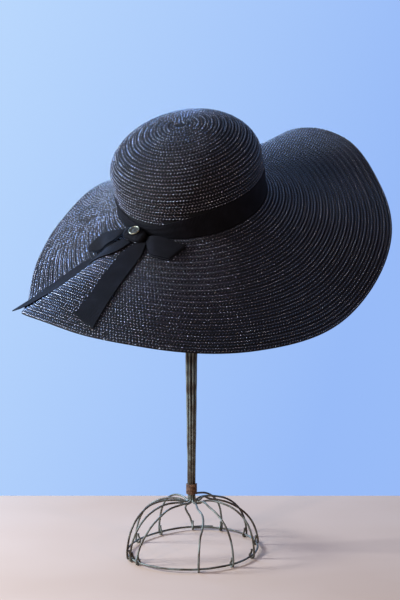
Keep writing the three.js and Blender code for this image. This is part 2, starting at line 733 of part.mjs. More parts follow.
const part = new THREE.Group();
part.add(buildStand(), buildHat());
part.position.set(-middle.x, -middle.y, 0);
part.updateMatrixWorld(true);

export default part;
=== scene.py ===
# %% [markdown]
# # A wide-brim straw hat on a wire hat stand
#
# The hat is sewn from one long plait of dark straw, row beside row. A grosgrain ribbon runs
# round the crown, is tied in a small bow, and carries a round badge. The hat hangs tipped forward
# on a stand of a dozen steel wires, bound together into a stem. This lesson dresses the packed
# solids: each soft or round piece is built again with the detail that shows, in the same place.

import math

import bmesh
import bpy
import numpy as np
from mathutils import Matrix, Vector


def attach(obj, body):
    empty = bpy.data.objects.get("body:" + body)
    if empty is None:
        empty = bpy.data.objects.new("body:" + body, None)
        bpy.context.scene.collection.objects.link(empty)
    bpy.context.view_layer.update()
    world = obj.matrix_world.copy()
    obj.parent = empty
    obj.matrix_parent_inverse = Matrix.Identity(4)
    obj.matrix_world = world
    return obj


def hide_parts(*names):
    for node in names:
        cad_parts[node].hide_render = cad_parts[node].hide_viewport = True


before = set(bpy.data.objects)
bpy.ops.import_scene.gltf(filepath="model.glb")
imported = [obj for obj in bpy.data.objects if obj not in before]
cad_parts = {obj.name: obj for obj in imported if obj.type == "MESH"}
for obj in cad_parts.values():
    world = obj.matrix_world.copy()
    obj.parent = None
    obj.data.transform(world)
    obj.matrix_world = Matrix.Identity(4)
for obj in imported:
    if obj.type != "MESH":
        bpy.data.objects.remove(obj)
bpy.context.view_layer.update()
ROOT = "root"
MM = 0.001
print("packed model:", len(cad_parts), "nodes")

# %% [markdown]
# ## The camera
#
# The camera comes first, because every choice of detail depends on how large a millimetre shows.
# Here one pixel is about 1.3 mm at the hat. The picture is upright, 400 by 600, and the lens is
# long, as a product photographer would use to keep a wide brim from looking stretched.

# %% Camera
STEM = Vector((-14.67, -24.46, 0)) * MM
CAMERA_PITCH_DOWN = 0.19284
CAMERA_FROM_STEM = (11.06, -2200, 763)
FOCAL_PIXELS = 1754
PICTURE_HEIGHT = 600


def link_object(name, data):
    new = bpy.data.objects.new(name, data)
    bpy.context.collection.objects.link(new)
    return new


camera_data = bpy.data.cameras.new("camera")
camera_data.sensor_fit = "VERTICAL"
camera_data.sensor_height = 24
camera_data.lens = FOCAL_PIXELS / PICTURE_HEIGHT * camera_data.sensor_height
camera_data.clip_end = 100
camera = link_object("camera", camera_data)
camera.location = STEM + Vector(CAMERA_FROM_STEM) * MM
camera.rotation_euler = (math.pi / 2 - CAMERA_PITCH_DOWN, 0, 0)
bpy.context.scene.camera = camera
# Standard keeps the pale wall pale and the black straw black, as the photograph has them.
bpy.context.scene.view_settings.view_transform = "Standard"
print("lens:", round(camera_data.lens, 1), "mm")

# %% [markdown]
# ## Small helpers
#
# Colours are picked as they look on a screen, and one function turns them to the linear values
# that light works in. One function adds a node, sets it and links it, for materials and for
# Geometry Nodes alike. Most shapes here are round, so points often come from polar values.

# %% Colour and node helpers
def linear(hex_colour):
    channels = [int(hex_colour[i:i + 2], 16) / 255 for i in (1, 3, 5)]
    return [c / 12.92 if c <= 0.04045 else ((c + 0.055) / 1.055) ** 2.4 for c in channels] + [1.0]


def add_node(tree, kind, settings=None, links=None):
    """Adds a node. A setting or link is named after the node's property or input socket.
    A link comes from a socket, or from a node's first output."""
    node = tree.nodes.new(kind)
    for name, value in (settings or {}).items():
        if isinstance(name, str) and hasattr(node, name):
            setattr(node, name, value)
        else:
            node.inputs[name].default_value = value
    for name, source in (links or {}).items():
        socket = source.outputs[0] if hasattr(source, "outputs") else source
        tree.links.new(socket, node.inputs[name])
    return node


def new_material(name, settings):
    """A material with its Principled shader set, returned with its tree and shader."""
    material = bpy.data.materials.new(name)
    material.use_nodes = True
    shader = material.node_tree.nodes["Principled BSDF"]
    for socket, value in settings.items():
        shader.inputs[socket].default_value = value
    return material, material.node_tree, shader


def add_ramp(tree, factor, stops):
    """A colour ramp from a list of (place, hex colour)."""
    ramp = add_node(tree, "ShaderNodeValToRGB", links={"Fac": factor})
    elements = ramp.color_ramp.elements
    while len(elements) < len(stops):
        elements.new(0.5)
    for element, (place, colour) in zip(elements, stops):
        element.position = place
        element.color = linear(colour)
    return ramp.outputs["Color"]


def add_colour(tree, shader, factor, stops):
    tree.links.new(add_ramp(tree, factor, stops), shader.inputs["Base Color"])


def add_noise(tree, patch, detail, **settings):
    """Noise that is fixed to the piece, with patches of a given size in metres."""
    place = add_node(tree, "ShaderNodeTexCoord")
    return add_node(tree, "ShaderNodeTexNoise", {"Scale": 1 / patch, "Detail": detail} | settings,
                    {"Vector": place.outputs["Object"]})


def add_bump(tree, shader, height, strength, distance):
    bump = add_node(tree, "ShaderNodeBump", {"Strength": strength, "Distance": distance},
                    {"Height": height})
    tree.links.new(bump.outputs["Normal"], shader.inputs["Normal"])


print("mid-grey on the screen is", round(linear("#808080")[0], 3), "in light")

# %% Helpers for round shapes
def round_steps(count):
    """Azimuths in degrees that divide a turn evenly."""
    return np.arange(count) * 360 / count


def polar(radius, angle, height):
    """Points from a radius, an angle in radians and a height."""
    x, y = radius * np.cos(angle), radius * np.sin(angle)
    return np.stack(np.broadcast_arrays(x, y, height), axis=-1)


def distance_along(points):
    steps = np.linalg.norm(np.diff(points, axis=0), axis=1)
    return np.concatenate([[0], np.cumsum(steps)])


def neighbours(count, is_round):
    """Pairs of a row and the next. On a round piece the first comes after the last."""
    return [(i, (i + 1) % count) for i in range(count if is_round else count - 1)]


print("a ring of three has the neighbours", neighbours(3, is_round=True))

# %% [markdown]
# ## Straw
#
# The plait is viscose straw: shiny flat strands, dyed a black with a breath of purple. Light
# slides off it in small bright specks, one for each strand that happens to face a lamp. A painted
# pattern could show specks too, but they would stay where they are when the hat is seen from
# another side. So the strands are real shapes, and there are two finishes: a dull dark one for
# the sewn sheet below, which shows only as the dark between the strands, and a glossy one for the
# strands on top, whose tint changes a little from strand to strand.

# %% Straw materials
SHEET_MOTTLE = 0.045   # metres between darker and lighter patches of the dye
MOTTLE_SHARE = 0.4     # how much of the tint the patches give; the rest differs by strand


def make_straw(name, stops, finish):
    material, tree, shader = new_material(name, finish)
    mottle = add_noise(tree, SHEET_MOTTLE, 3)
    tint = add_node(tree, "ShaderNodeAttribute", {"attribute_name": "tint"})
    both = add_node(tree, "ShaderNodeMath", {"operation": "MULTIPLY_ADD", 1: MOTTLE_SHARE},
                    {0: mottle, 2: tint.outputs["Fac"]})
    add_colour(tree, shader, both, stops)
    return material


# Nearly black and dull: the eye reads it as the shadow between the strands.
straw_sheet = make_straw("sewn_straw_sheet", [(0.2, "#060406"), (1.0, "#0c080b")],
                         {"Roughness": 0.8, "Specular IOR Level": 0.2})
# Nearly black and glossy: all that shows of it is the light that it throws back.
straw_strand = make_straw("glossy_viscose_straw", [
    (0.3, "#070507"), (0.7, "#0d090d"), (1.0, "#171218")],
    {"Roughness": 0.2, "Specular IOR Level": 0.9, "Specular Tint": linear("#fdf1ff"),
     "Coat Weight": 0.6, "Coat Roughness": 0.07})
print("straw finishes:", straw_sheet.name, "and", straw_strand.name)

# %% [markdown]
# ## The hat's shape
#
# The hat is measured upright and then tipped as a whole. The crown is a straight-sided wall under
# a rounded top. The brim starts at the crown's foot and falls away, steeply in some places and
# hardly at all in others. Walking outwards along one azimuth and adding up the fall gives every
# point of it, and the whole wavy shape comes from one short table.

# %% Sizes and tables of the hat, in millimetres and degrees
STRAW = 2.0
FIT_GAP = 0.3
CROWN_FOOT_RADIUS = 93.8
CROWN_WIDEST_RADIUS = 95.5
CROWN_WIDEST_HEIGHT = 50
CROWN_HEIGHT = 106
CROWN_SLANT = 0.05
BRIM_ROOT_RADIUS = 95.2
BRIM_REACH = 173
BAND_HEIGHT = 34
BAND_DIP = 19.5
BAND_DIP_SPREAD = 36
KNOT_AZIMUTH = 228
FOLD_AT_EDGE = 208
FOLD_DRIFT = 15
FOLD_SPREAD = 45

# azimuth, fall at the crown, fall at the edge
BRIM_FALL = np.array([
    (0, 32.5, 24), (20, 26.5, 17.5), (40, 20, 5), (60, 19, 13), (80, 28.5, 44.5), (105, 28, 37),
    (125, 30, 26.5), (145, 34, 32.5), (165, 43, 32), (184, 46, 29), (195, 44, 14), (203, 22, 7),
    (213, 11, 11), (230, 13, 6), (250, 14, 9), (285, 27, 21.5), (325, 37, 41),
], float)
AT_CROWN, AT_EDGE = 1, 2
print("the brim's fall is given at", len(BRIM_FALL), "azimuths")

# %% The shapes of brim, crown and band
def read_round(table, azimuth, column):
    """A smooth cubic through a table, all the way round."""
    keys = np.concatenate([table[:, 0] + 360 * turn for turn in (-1, 0, 1)])
    values = np.tile(table[:, column], 3)
    slopes = np.gradient(values, keys)
    slopes[1:-1] = (values[2:] - values[:-2]) / (keys[2:] - keys[:-2])
    wrapped = np.mod(azimuth, 360)
    first = np.searchsorted(keys, wrapped, side="right") - 1
    span = keys[first + 1] - keys[first]
    t = (wrapped - keys[first]) / span
    rise = values[first + 1] - values[first]
    cube = span * (slopes[first] + slopes[first + 1]) - 2 * rise
    square = 3 * rise - span * (2 * slopes[first] + slopes[first + 1])
    return ((cube * t + square) * t + span * slopes[first]) * t + values[first]


def brim_point(azimuth, reach, steps=12):
    """Points of the brim's upper face. Reach is 0 at the crown and 1 at the edge."""
    azimuth, reach = np.broadcast_arrays(np.asarray(azimuth, float), np.asarray(reach, float))
    drift_centre = FOLD_AT_EDGE + FOLD_DRIFT / 2
    near_fold = np.exp(-(((azimuth - drift_centre) / FOLD_SPREAD) ** 2))
    radius = np.full(azimuth.shape, float(BRIM_ROOT_RADIUS))
    height = np.full(azimuth.shape, -FIT_GAP)
    for i in range(steps):
        part = reach * (i + 0.5) / steps
        read_at = azimuth - FOLD_DRIFT * (1 - part) * near_fold
        fall = (read_round(BRIM_FALL, read_at, AT_CROWN) * (1 - part)
                + read_round(BRIM_FALL, read_at, AT_EDGE) * part)
        radius = radius + np.cos(np.radians(fall)) * BRIM_REACH * reach / steps
        height = height - np.sin(np.radians(fall)) * BRIM_REACH * reach / steps
    return polar(radius, np.radians(azimuth), height)


def unit(vectors):
    return vectors / np.linalg.norm(vectors, axis=-1, keepdims=True)


def brim_normal(azimuth, reach, turn=0.5, out=0.01):
    along_turn = brim_point(azimuth + turn, reach) - brim_point(azimuth - turn, reach)
    along_out = brim_point(azimuth, reach + out) - brim_point(azimuth, reach - out)
    return unit(np.cross(along_out, along_turn))


def above_brim(places):
    """Points over the brim, each from an azimuth, a reach and a lift."""
    azimuth, reach, lift = np.moveaxis(places, -1, 0)
    return brim_point(azimuth, reach) + brim_normal(azimuth, reach) * lift[..., None]


def crown_radius(height):
    swell = np.sin(math.pi / 2 * np.minimum(height / CROWN_WIDEST_HEIGHT, 1))
    return CROWN_FOOT_RADIUS + (CROWN_WIDEST_RADIUS - CROWN_FOOT_RADIUS) * swell


def band_top(azimuth):
    """The band is gathered at the bow, so its upper edge dips there."""
    return BAND_HEIGHT - BAND_DIP * np.exp(-(((azimuth - KNOT_AZIMUTH) / BAND_DIP_SPREAD) ** 2))


print("the brim's edge lies at", [round(float(brim_point(a, 1)[2])) for a in (0, 90, 180, 270)],
      "mm, upright, at four azimuths")

# %% [markdown]
# The hat leans forward and a little to the left on its stand. One matrix does that for every
# point, and it is the only place where the tilt is written.

# %% From the upright hat to its place on the stand
HEAD_RADIUS = 88
HEAD_CENTRE_HEIGHT = 477.7
WIRE_RADIUS = 1.2
TIP_FORWARD, TIP_LEFT = math.radians(23.7), math.radians(8.2)
HAT_SIDE_SHIFT = 0.9

hat_turn = Matrix.Rotation(TIP_FORWARD, 3, "X") @ Matrix.Rotation(-TIP_LEFT, 3, "Y")
hat_axis = hat_turn @ Vector((0, 0, 1))
root_below_head = CROWN_HEIGHT - STRAW - HEAD_RADIUS - WIRE_RADIUS - FIT_GAP
hat_root = hat_axis * -root_below_head
hat_root.x = HAT_SIDE_SHIFT
hat_root.z += HEAD_CENTRE_HEIGHT
print("the crown's foot is centred at", [round(v, 1) for v in hat_root], "mm from the stem's foot")


def on_stand(points):
    """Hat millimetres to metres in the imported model's frame."""
    turned = np.asarray(points) @ np.array(hat_turn).T
    return (turned + np.array(hat_root)) * MM + np.array(STEM)


def turn_only(vectors):
    return np.asarray(vectors) @ np.array(hat_turn).T

# %% [markdown]
# ## From a grid of points to a closed sheet
#
# Crown, brim, band, bow and tails are all sheets with a little thickness. One helper moves a grid
# of points along its own normals, up for the top face and down for the bottom face, closes the
# rims, and keeps a UV map in metres, so that a weave can follow the cloth.

# %% Mesh helpers
def link_mesh(name, vertices, faces, material, smooth=True):
    mesh = bpy.data.meshes.new(name)
    mesh.from_pydata([tuple(v) for v in vertices], [], faces)
    mesh.materials.append(material)
    mesh.polygons.foreach_set("use_smooth", [smooth] * len(mesh.polygons))
    mesh.update()
    return link_object(name, mesh)


def grid_normals(grid, is_round):
    if is_round:
        along = np.roll(grid, -1, axis=0) - np.roll(grid, 1, axis=0)
    else:
        along = np.gradient(grid, axis=0)
    across = np.gradient(grid, axis=1)
    return unit(np.cross(across, along))


def lay_uv(piece, places):
    """Gives each vertex its place in the weave, in millimetres, along and across the piece."""
    layer = piece.data.uv_layers.new(name="weave")
    index = np.empty(len(piece.data.loops), int)
    piece.data.loops.foreach_get("vertex_index", index)
    layer.data.foreach_set("uv", (places[index] * MM).ravel())


def sharpen_rims(piece, degrees=50):
    """Keeps the cut edges of a sheet crisp while its faces stay smooth."""
    bpy.context.view_layer.objects.active = piece
    piece.select_set(True)
    bpy.ops.object.shade_smooth_by_angle(angle=math.radians(degrees), keep_sharp_edges=True)
    piece.select_set(False)


print("mesh helpers:", [f.__name__ for f in (link_mesh, grid_normals, lay_uv, sharpen_rims)])

# %% A closed sheet
def sheet(name, grid, lower, upper, material, is_round=False):
    """A closed sheet from grid[row, column] in hat millimetres. Rows run along the piece."""
    normals = grid_normals(grid, is_round)
    rows, columns = grid.shape[:2]
    walls = [grid + normals * np.broadcast_to(shift, (rows, columns))[..., None]
             for shift in (upper, lower)]
    vertices = on_stand(np.concatenate(walls).reshape(-1, 3))
    below = rows * columns
    faces = []
    for i, k in neighbours(rows, is_round):
        a, b = i * columns, k * columns
        for j in range(columns - 1):
            faces.append((a + j, a + j + 1, b + j + 1, b + j))
            faces.append((below + a + j, below + b + j, below + b + j + 1, below + a + j + 1))
        end = columns - 1
        faces.append((a, b, below + b, below + a))
        faces.append((a + end, below + a + end, below + b + end, b + end))
    if not is_round:
        last = (rows - 1) * columns
        for j in range(columns - 1):
            faces.append((j, below + j, below + j + 1, j + 1))
            faces.append((last + j, last + j + 1, below + last + j + 1, below + last + j))
    piece = link_mesh(name, vertices, faces, material)
    along = distance_along(grid[:, columns // 2])
    across = np.linalg.norm(np.diff(grid, axis=1), axis=2).mean(axis=0)
    across = np.concatenate([[0], np.cumsum(across)])
    places = np.stack(np.broadcast_arrays(along[:, None], across), axis=-1).reshape(-1, 2)
    lay_uv(piece, np.concatenate([places, places]))
    print(name, "is a sheet of", rows, "by", columns, "points")
    return piece

# %% [markdown]
# ## Rows of plait
#
# A straw hat of this kind is one plait, sewn round and round from the top of the crown. Each row
# stands up a little in its middle and dips where it is stitched to the next. The base sheets carry
# those rows as real ridges: as rings on the brim, and as one spiral on the crown.

# %% The brim's sheet
ROW_COUNT = 20
STEPS_PER_ROW = 4
BRIM_STEPS_ROUND = 180
ROW_DEPTH = 0.8
RIDGE_POWER = 0.6      # under 1 the rows are full and round, with a sharp dip between them
SHEET_SINK = 0.7       # the sheets lie below the solids' faces, because the strands lie on them
BRIM_UNDER = {"lift": 0.6, "depth": 0.8}
CROWN_UNDER = {"lift": 0.5, "depth": 0.6}


def ridge(phase):
    """Height of a row of plait over its own stitched edges, from 0 to ROW_DEPTH."""
    return ROW_DEPTH * np.abs(np.sin(math.pi * phase)) ** RIDGE_POWER


def straw_sheet_piece(name, grid, ridges, under):
    lower = -STRAW + under["lift"] - ridges * under["depth"]
    return sheet(name, grid, lower, ridges - SHEET_SINK, straw_sheet, is_round=True)


brim_reaches = np.linspace(0, 1, ROW_COUNT * STEPS_PER_ROW + 1)
brim_grid = brim_point(round_steps(BRIM_STEPS_ROUND)[:, None], brim_reaches[None, :])
collar = brim_grid[:, :1].copy()
collar[..., :2] *= (CROWN_FOOT_RADIUS - STRAW) / BRIM_ROOT_RADIUS
brim_grid = np.concatenate([collar, brim_grid], axis=1)
brim_ridges = np.concatenate([[0], ridge(brim_reaches * ROW_COUNT)])
brim = straw_sheet_piece("brim_sheet", brim_grid, brim_ridges, BRIM_UNDER)
print("brim rows:", ROW_COUNT, "of", round(BRIM_REACH / ROW_COUNT, 2), "mm")

# %% The crown's sheet
PLAIT_PITCH = BRIM_REACH / ROW_COUNT
CROWN_STEPS_ROUND = 120
CROWN_STEPS_PER_ROW = 5
CROWN_TOP_HOLE = 0.4
DOME_STEPS, WALL_STEPS = 200, 60
DOME_HEIGHT = CROWN_HEIGHT - CROWN_WIDEST_HEIGHT
dome_angles = np.linspace(math.pi / 2, 0, DOME_STEPS)
dome = np.stack([CROWN_WIDEST_RADIUS * np.cos(dome_angles),
                 CROWN_WIDEST_HEIGHT + DOME_HEIGHT * np.sin(dome_angles)], axis=1)
wall_heights = np.linspace(CROWN_WIDEST_HEIGHT, 0, WALL_STEPS)[1:]
wall = np.stack([crown_radius(wall_heights), wall_heights], axis=1)
crown_profile = np.concatenate([dome, wall])
crown_arc = distance_along(crown_profile)
CROWN_LENGTH = crown_arc[-1]


def crown_point(azimuth, arc):
    """A point of the crown's outer face, by its distance from the top along the profile."""
    radius = np.interp(arc, crown_arc, crown_profile[:, 0])
    height = np.interp(arc, crown_arc, crown_profile[:, 1])
    into_dome = np.maximum(height - CROWN_WIDEST_HEIGHT, 0) / DOME_HEIGHT
    points = polar(radius, np.radians(azimuth), height)
    points[..., 2] += CROWN_SLANT * points[..., 0] * into_dome
    return points


def crown_normal(azimuth, arc, step=0.5):
    ahead = crown_point(azimuth, np.minimum(arc + step, CROWN_LENGTH))
    behind = crown_point(azimuth, np.maximum(arc - step, 0))
    turn = polar(1, np.radians(azimuth + 90), 0)
    return unit(np.cross(ahead - behind, turn))


crown_azimuths = round_steps(CROWN_STEPS_ROUND)
crown_steps = np.linspace(CROWN_TOP_HOLE, CROWN_LENGTH,
                          int(CROWN_LENGTH / PLAIT_PITCH * CROWN_STEPS_PER_ROW))
crown_grid = crown_point(crown_azimuths[:, None], crown_steps[None, :])
crown_ridges = ridge(crown_steps[None, :] / PLAIT_PITCH - crown_azimuths[:, None] / 360)
crown = straw_sheet_piece("crown_sheet", crown_grid, crown_ridges, CROWN_UNDER)


def close_crown_top(piece, rows, columns):
    """Fills the two small holes at the crown's top, so that both walls are closed."""
    mesh = bmesh.new()
    mesh.from_mesh(piece.data)
    mesh.verts.ensure_lookup_table()
    outer, inner = ([mesh.verts[first + i * columns] for i in range(rows)]
                    for first in (0, rows * columns))
    for i, k in neighbours(rows, is_round=True):
        mesh.faces.remove(mesh.faces.get((outer[i], outer[k], inner[k], inner[i])))
    for rim in (outer, inner[::-1]):
        mesh.faces.new(rim).smooth = True
    mesh.to_mesh(piece.data)
    mesh.free()


close_crown_top(crown, CROWN_STEPS_ROUND, len(crown_steps))
print("crown rows:", round(CROWN_LENGTH / PLAIT_PITCH, 1), "along", round(CROWN_LENGTH), "mm")

# %% [markdown]
# ## The strands of the plait
#
# In a plait, flat strands cross over from both sides and point along the row like a string of
# arrowheads. There are thousands of them, all alike, so Geometry Nodes lay them: the tree takes
# the row as a guide line, divides it evenly, stands a left and a right strand on each mark,
# leaning towards the row's middle, and gives each its own tint. The guide carries the direction
# that faces away from the hat.

# %% A helper for trees
FLOAT, INTEGER, FINISH = "NodeSocketFloat", "NodeSocketInt", "NodeSocketMaterial"


def new_tree(name, inputs):
    """A Geometry Nodes tree with named inputs of given types, and a seed and a finish. It comes
    with the function that adds a node to it, its inputs, and the function that closes it."""
    tree = bpy.data.node_groups.new(name, "GeometryNodeTree")
    tree.interface.new_socket("Geometry", in_out="INPUT", socket_type="NodeSocketGeometry")
    for label, kind in (inputs | {"Seed": INTEGER, "Finish": FINISH}).items():
        tree.interface.new_socket(label, in_out="INPUT", socket_type=kind)
    tree.interface.new_socket("Geometry", in_out="OUTPUT", socket_type="NodeSocketGeometry")
    given = tree.nodes.new("NodeGroupInput").outputs
    result = tree.nodes.new("NodeGroupOutput").inputs

    def node(kind, settings=None, links=None):
        return add_node(tree, kind, settings, links)

    def close(geometry):
        """Turns instances into one smooth mesh with its finish."""
        real = node("GeometryNodeRealizeInstances", links={"Geometry": geometry})
        smooth = node("GeometryNodeSetShadeSmooth", links={"Geometry": real})
        finished = node("GeometryNodeSetMaterial", links={
            "Geometry": smooth, "Material": given["Finish"]})
        tree.links.new(finished.outputs[0], result["Geometry"])

    return tree, node, given, close


print("a tree's inputs are of the types", FLOAT, INTEGER, FINISH)

# %% The plait tree
ARCH = math.radians(22)      # each strand faces a little away from the row's middle
SHINGLE = math.radians(9)    # and each row lies a little over the next, like a tile
LEAN_SPREAD = (-0.3, 0.3)    # radians: no strand lies quite like the next, so each one
TIP_SPREAD = (-0.4, 0.35)    # catches the light, or misses it, by itself

plait_tree, node, given, close = new_tree("plait_strands", {
    "Stitch spacing": FLOAT, "Strand length": FLOAT, "Strand width": FLOAT,
    "Strand height": FLOAT, "Lean": FLOAT, "Side step": FLOAT, "Lift": FLOAT})
row = node("GeometryNodeMeshToCurve", links={"Mesh": given["Geometry"]})
marks = node("GeometryNodeResampleCurve", {"mode": "LENGTH"},
             {"Curve": row, "Length": given["Stitch spacing"]})
outward = node("GeometryNodeInputNamedAttribute", {"data_type": "FLOAT_VECTOR", "Name": "outward"})
tangent = node("GeometryNodeInputTangent")
facing = node("FunctionNodeAxesToRotation", {"primary_axis": "Z", "secondary_axis": "X"},
              {"Primary Axis": outward.outputs["Attribute"], "Secondary Axis": tangent})
bead = node("GeometryNodeMeshUVSphere", {"Segments": 4, "Rings": 3, "Radius": 0.5})
strand_size = node("ShaderNodeCombineXYZ", links={
    "X": given["Strand height"], "Y": given["Strand width"], "Z": given["Strand length"]})
strand = node("GeometryNodeTransform", {"Rotation": (0, math.pi / 2, 0)},
              {"Geometry": bead, "Scale": strand_size})
half_spacing = node("ShaderNodeMath", {"operation": "MULTIPLY", 1: 0.5},
                    {0: given["Stitch spacing"]})


def random_value(least, most):
    return node("FunctionNodeRandomValue", {2: least, 3: most}, {"Seed": given["Seed"]}).outputs[1]


sides = []
for side in (1, -1):
    stand = node("GeometryNodeInstanceOnPoints", links={
        "Points": marks, "Instance": strand, "Rotation": facing})
    step_aside = node("ShaderNodeMath", {"operation": "MULTIPLY", 1: side},
                      {0: given["Side step"]})
    shift = node("ShaderNodeCombineXYZ", links={"Y": step_aside, "Z": given["Lift"]})
    if side < 0:
        plait_tree.links.new(half_spacing.outputs[0], shift.inputs["X"])
    moved = node("GeometryNodeTranslateInstances", {"Local Space": True},
                 {"Instances": stand, "Translation": shift})
    lean = node("ShaderNodeMath", {"operation": "MULTIPLY_ADD", 1: -side},
                {0: given["Lean"], 2: random_value(*LEAN_SPREAD)})
    turn = node("ShaderNodeCombineXYZ", {"X": SHINGLE - side * ARCH},
                {"Y": random_value(*TIP_SPREAD), "Z": lean})
    turned = node("GeometryNodeRotateInstances", {"Local Space": True},
                  {"Instances": moved, "Rotation": turn})
    tinted = node("GeometryNodeStoreNamedAttribute",
                  {"data_type": "FLOAT", "domain": "INSTANCE", "Name": "tint"},
                  {"Geometry": turned, "Value": random_value(0.0, 1.0)})
    sides.append(tinted.outputs[0])
joined = node("GeometryNodeJoinGeometry")
for geometry in sides:
    plait_tree.links.new(geometry, joined.inputs[0])
close(joined)
print("the plait tree has", len(plait_tree.nodes), "nodes")

# %% Guide lines and running a tree
def link_guide(name, points, edges, outward_vectors=None):
    """A line of points and edges in metres, with the direction that faces away from the piece."""
    mesh = bpy.data.meshes.new(name)
    mesh.from_pydata([tuple(p) for p in points], edges, [])
    if outward_vectors is not None:
        attribute = mesh.attributes.new("outward", "FLOAT_VECTOR", "POINT")
        attribute.data.foreach_set("vector", np.asarray(outward_vectors, float).ravel())
    return link_object(name, mesh)


def grow(piece, tree, values):
    """Runs a tree on a guide and keeps the result as a plain mesh."""
    modifier = piece.modifiers.new(tree.name, "NODES")
    modifier.node_group = tree
    for item in tree.interface.items_tree:
        if item.in_out == "INPUT" and item.name in values:
            modifier[item.identifier] = values[item.name]
    graph = bpy.context.evaluated_depsgraph_get()
    mesh = bpy.data.meshes.new_from_object(piece.evaluated_get(graph), depsgraph=graph,
                                           preserve_all_data_layers=True)
    piece.modifiers.clear()
    guide, piece.data = piece.data, mesh
    mesh.name = piece.name
    bpy.data.meshes.remove(guide)
    triangles = sum(len(polygon.vertices) - 2 for polygon in mesh.polygons)
    print(piece.name, "has", triangles, "triangles")
    return piece

# %% [markdown]
# On the brim each row is a ring of its own. The upper side and the underside get their own
# strands, since a plait shows on both. On the crown the guide is one spiral from the top down to
# the band; it stops under the ribbon, where nothing would show.

# %% Strands of the brim and the crown
PLAIT = {"Stitch spacing": 4.0 * MM, "Strand length": 4.4 * MM, "Strand width": 2.9 * MM,
         "Strand height": 2.4 * MM, "Lean": math.radians(35), "Side step": 2.1 * MM,
         "Lift": -0.2 * MM, "Seed": 7, "Finish": straw_strand}
RING_POINTS = 240


def brim_guide(name, depth, direction):
    """Rings in the middle of the rows, on the brim's upper or lower side."""
    points, outwards, edges = [], [], []
    azimuths = round_steps(RING_POINTS)
    for index in range(ROW_COUNT):
        reach = (index + 0.5) / ROW_COUNT
        normals = brim_normal(azimuths, reach)
        first = index * RING_POINTS
        points.append(on_stand(brim_point(azimuths, reach) + normals * depth))
        outwards.append(turn_only(normals) * direction)
        edges += [(first + i, first + k) for i, k in neighbours(RING_POINTS, is_round=True)]
    return link_guide(name, np.concatenate(points), edges, np.concatenate(outwards))


brim_top = grow(brim_guide("brim_plait_top", 0, 1), plait_tree, PLAIT)
brim_under = grow(brim_guide("brim_plait_under", -STRAW, -1), plait_tree,
                  PLAIT | {"Stitch spacing": 5.0 * MM, "Strand length": 6.6 * MM, "Seed": 8})

# %% The crown's spiral
SPIRAL_STEP = 3.0
SPIRAL_SHORT_BY = 0.6    # turns that are left off at the crown's foot
BAND_MARGIN = 0.8
crown_turns = CROWN_LENGTH / PLAIT_PITCH
spiral_azimuths = np.arange(0, (crown_turns - SPIRAL_SHORT_BY) * 360, SPIRAL_STEP)
spiral_arcs = (spiral_azimuths / 360 + 0.5) * PLAIT_PITCH
spiral_points = crown_point(spiral_azimuths, spiral_arcs)
shows = spiral_points[:, 2] > band_top(np.mod(spiral_azimuths, 360)) + BAND_MARGIN
spiral_edges = [(i, k) for i, k in neighbours(len(shows), is_round=False)
                if shows[i] and shows[k]]
crown_plait = grow(
    link_guide("crown_plait", on_stand(spiral_points), spiral_edges,
               turn_only(crown_normal(spiral_azimuths, spiral_arcs))),
    plait_tree, PLAIT | {"Seed": 9})

# %% [markdown]
# ## Grosgrain ribbon
#
# Grosgrain is a stiff, matt ribbon with fine ribs across its width. The ribs are about a
# millimetre apart on the real thing, finer than a pixel here, so they are drawn 1.7 mm apart.
# The sheets are built from the same kind of table as the solids: two edges, each given by azimuth,
# reach along the brim and lift off it, with a smooth curve through the rows. A cloth simulation
# could drape them, but the photograph fixes every fold, and a table can follow it exactly.

# %% Grosgrain material
RIB_PITCH = 1.7 * MM
CREASE = 0.02   # metres between soft creases


def make_grosgrain():
    material, tree, shader = new_material("grosgrain_ribbon", {
        "Roughness": 0.85, "Specular IOR Level": 0.1})
    place = add_node(tree, "ShaderNodeTexCoord")
    apart = add_node(tree, "ShaderNodeSeparateXYZ", links={"Vector": place.outputs["UV"]})
    turns = add_node(tree, "ShaderNodeMath", {"operation": "MULTIPLY", 1: 2 * math.pi / RIB_PITCH},
                     {0: apart.outputs["X"]})
    ribs = add_node(tree, "ShaderNodeMath", {"operation": "SINE"}, {0: turns})
    worn = add_noise(tree, CREASE, 4)
    add_colour(tree, shader, worn, [(0.3, "#0a080b"), (0.55, "#0f0d11"), (0.75, "#17151b")])
    add_bump(tree, shader, ribs.outputs[0], 0.5, 0.25 * MM)
    return material


grosgrain = make_grosgrain()
RIBBON = 0.7                  # thickness in millimetres
BAND_RIBBON = RIBBON + 0.2    # the band is gathered, so it lies a little thicker
print("the ribbon has a rib every", round(RIB_PITCH / MM, 1), "mm")

# %% The band
BAND_STEPS_ROUND = 180
BAND_STEPS_HIGH = 12
PLEAT_DEPTH = 0.5
PLEATS_DOWN = 2.5
PLEAT_DRIFT = 90       # degrees round the crown in which a pleat moves down by one
band_azimuths = round_steps(BAND_STEPS_ROUND)
share_down = np.linspace(0, 1, BAND_STEPS_HIGH + 1)
tops = band_top(band_azimuths)[:, None]
band_heights = tops * (1 - share_down) + FIT_GAP * share_down
gather = (BAND_HEIGHT - tops) / BAND_DIP
pleat_phase = PLEATS_DOWN * share_down + band_azimuths[:, None] / PLEAT_DRIFT
pleats = PLEAT_DEPTH * gather * (1 + np.sin(2 * math.pi * pleat_phase))
band_radius = crown_radius(band_heights) + FIT_GAP + pleats * share_down * (1 - share_down) * 4
band_grid = polar(band_radius, np.radians(band_azimuths)[:, None], band_heights)
band = sheet("band_ribbon", band_grid, 0, BAND_RIBBON, grosgrain, is_round=True)
sharpen_rims(band)

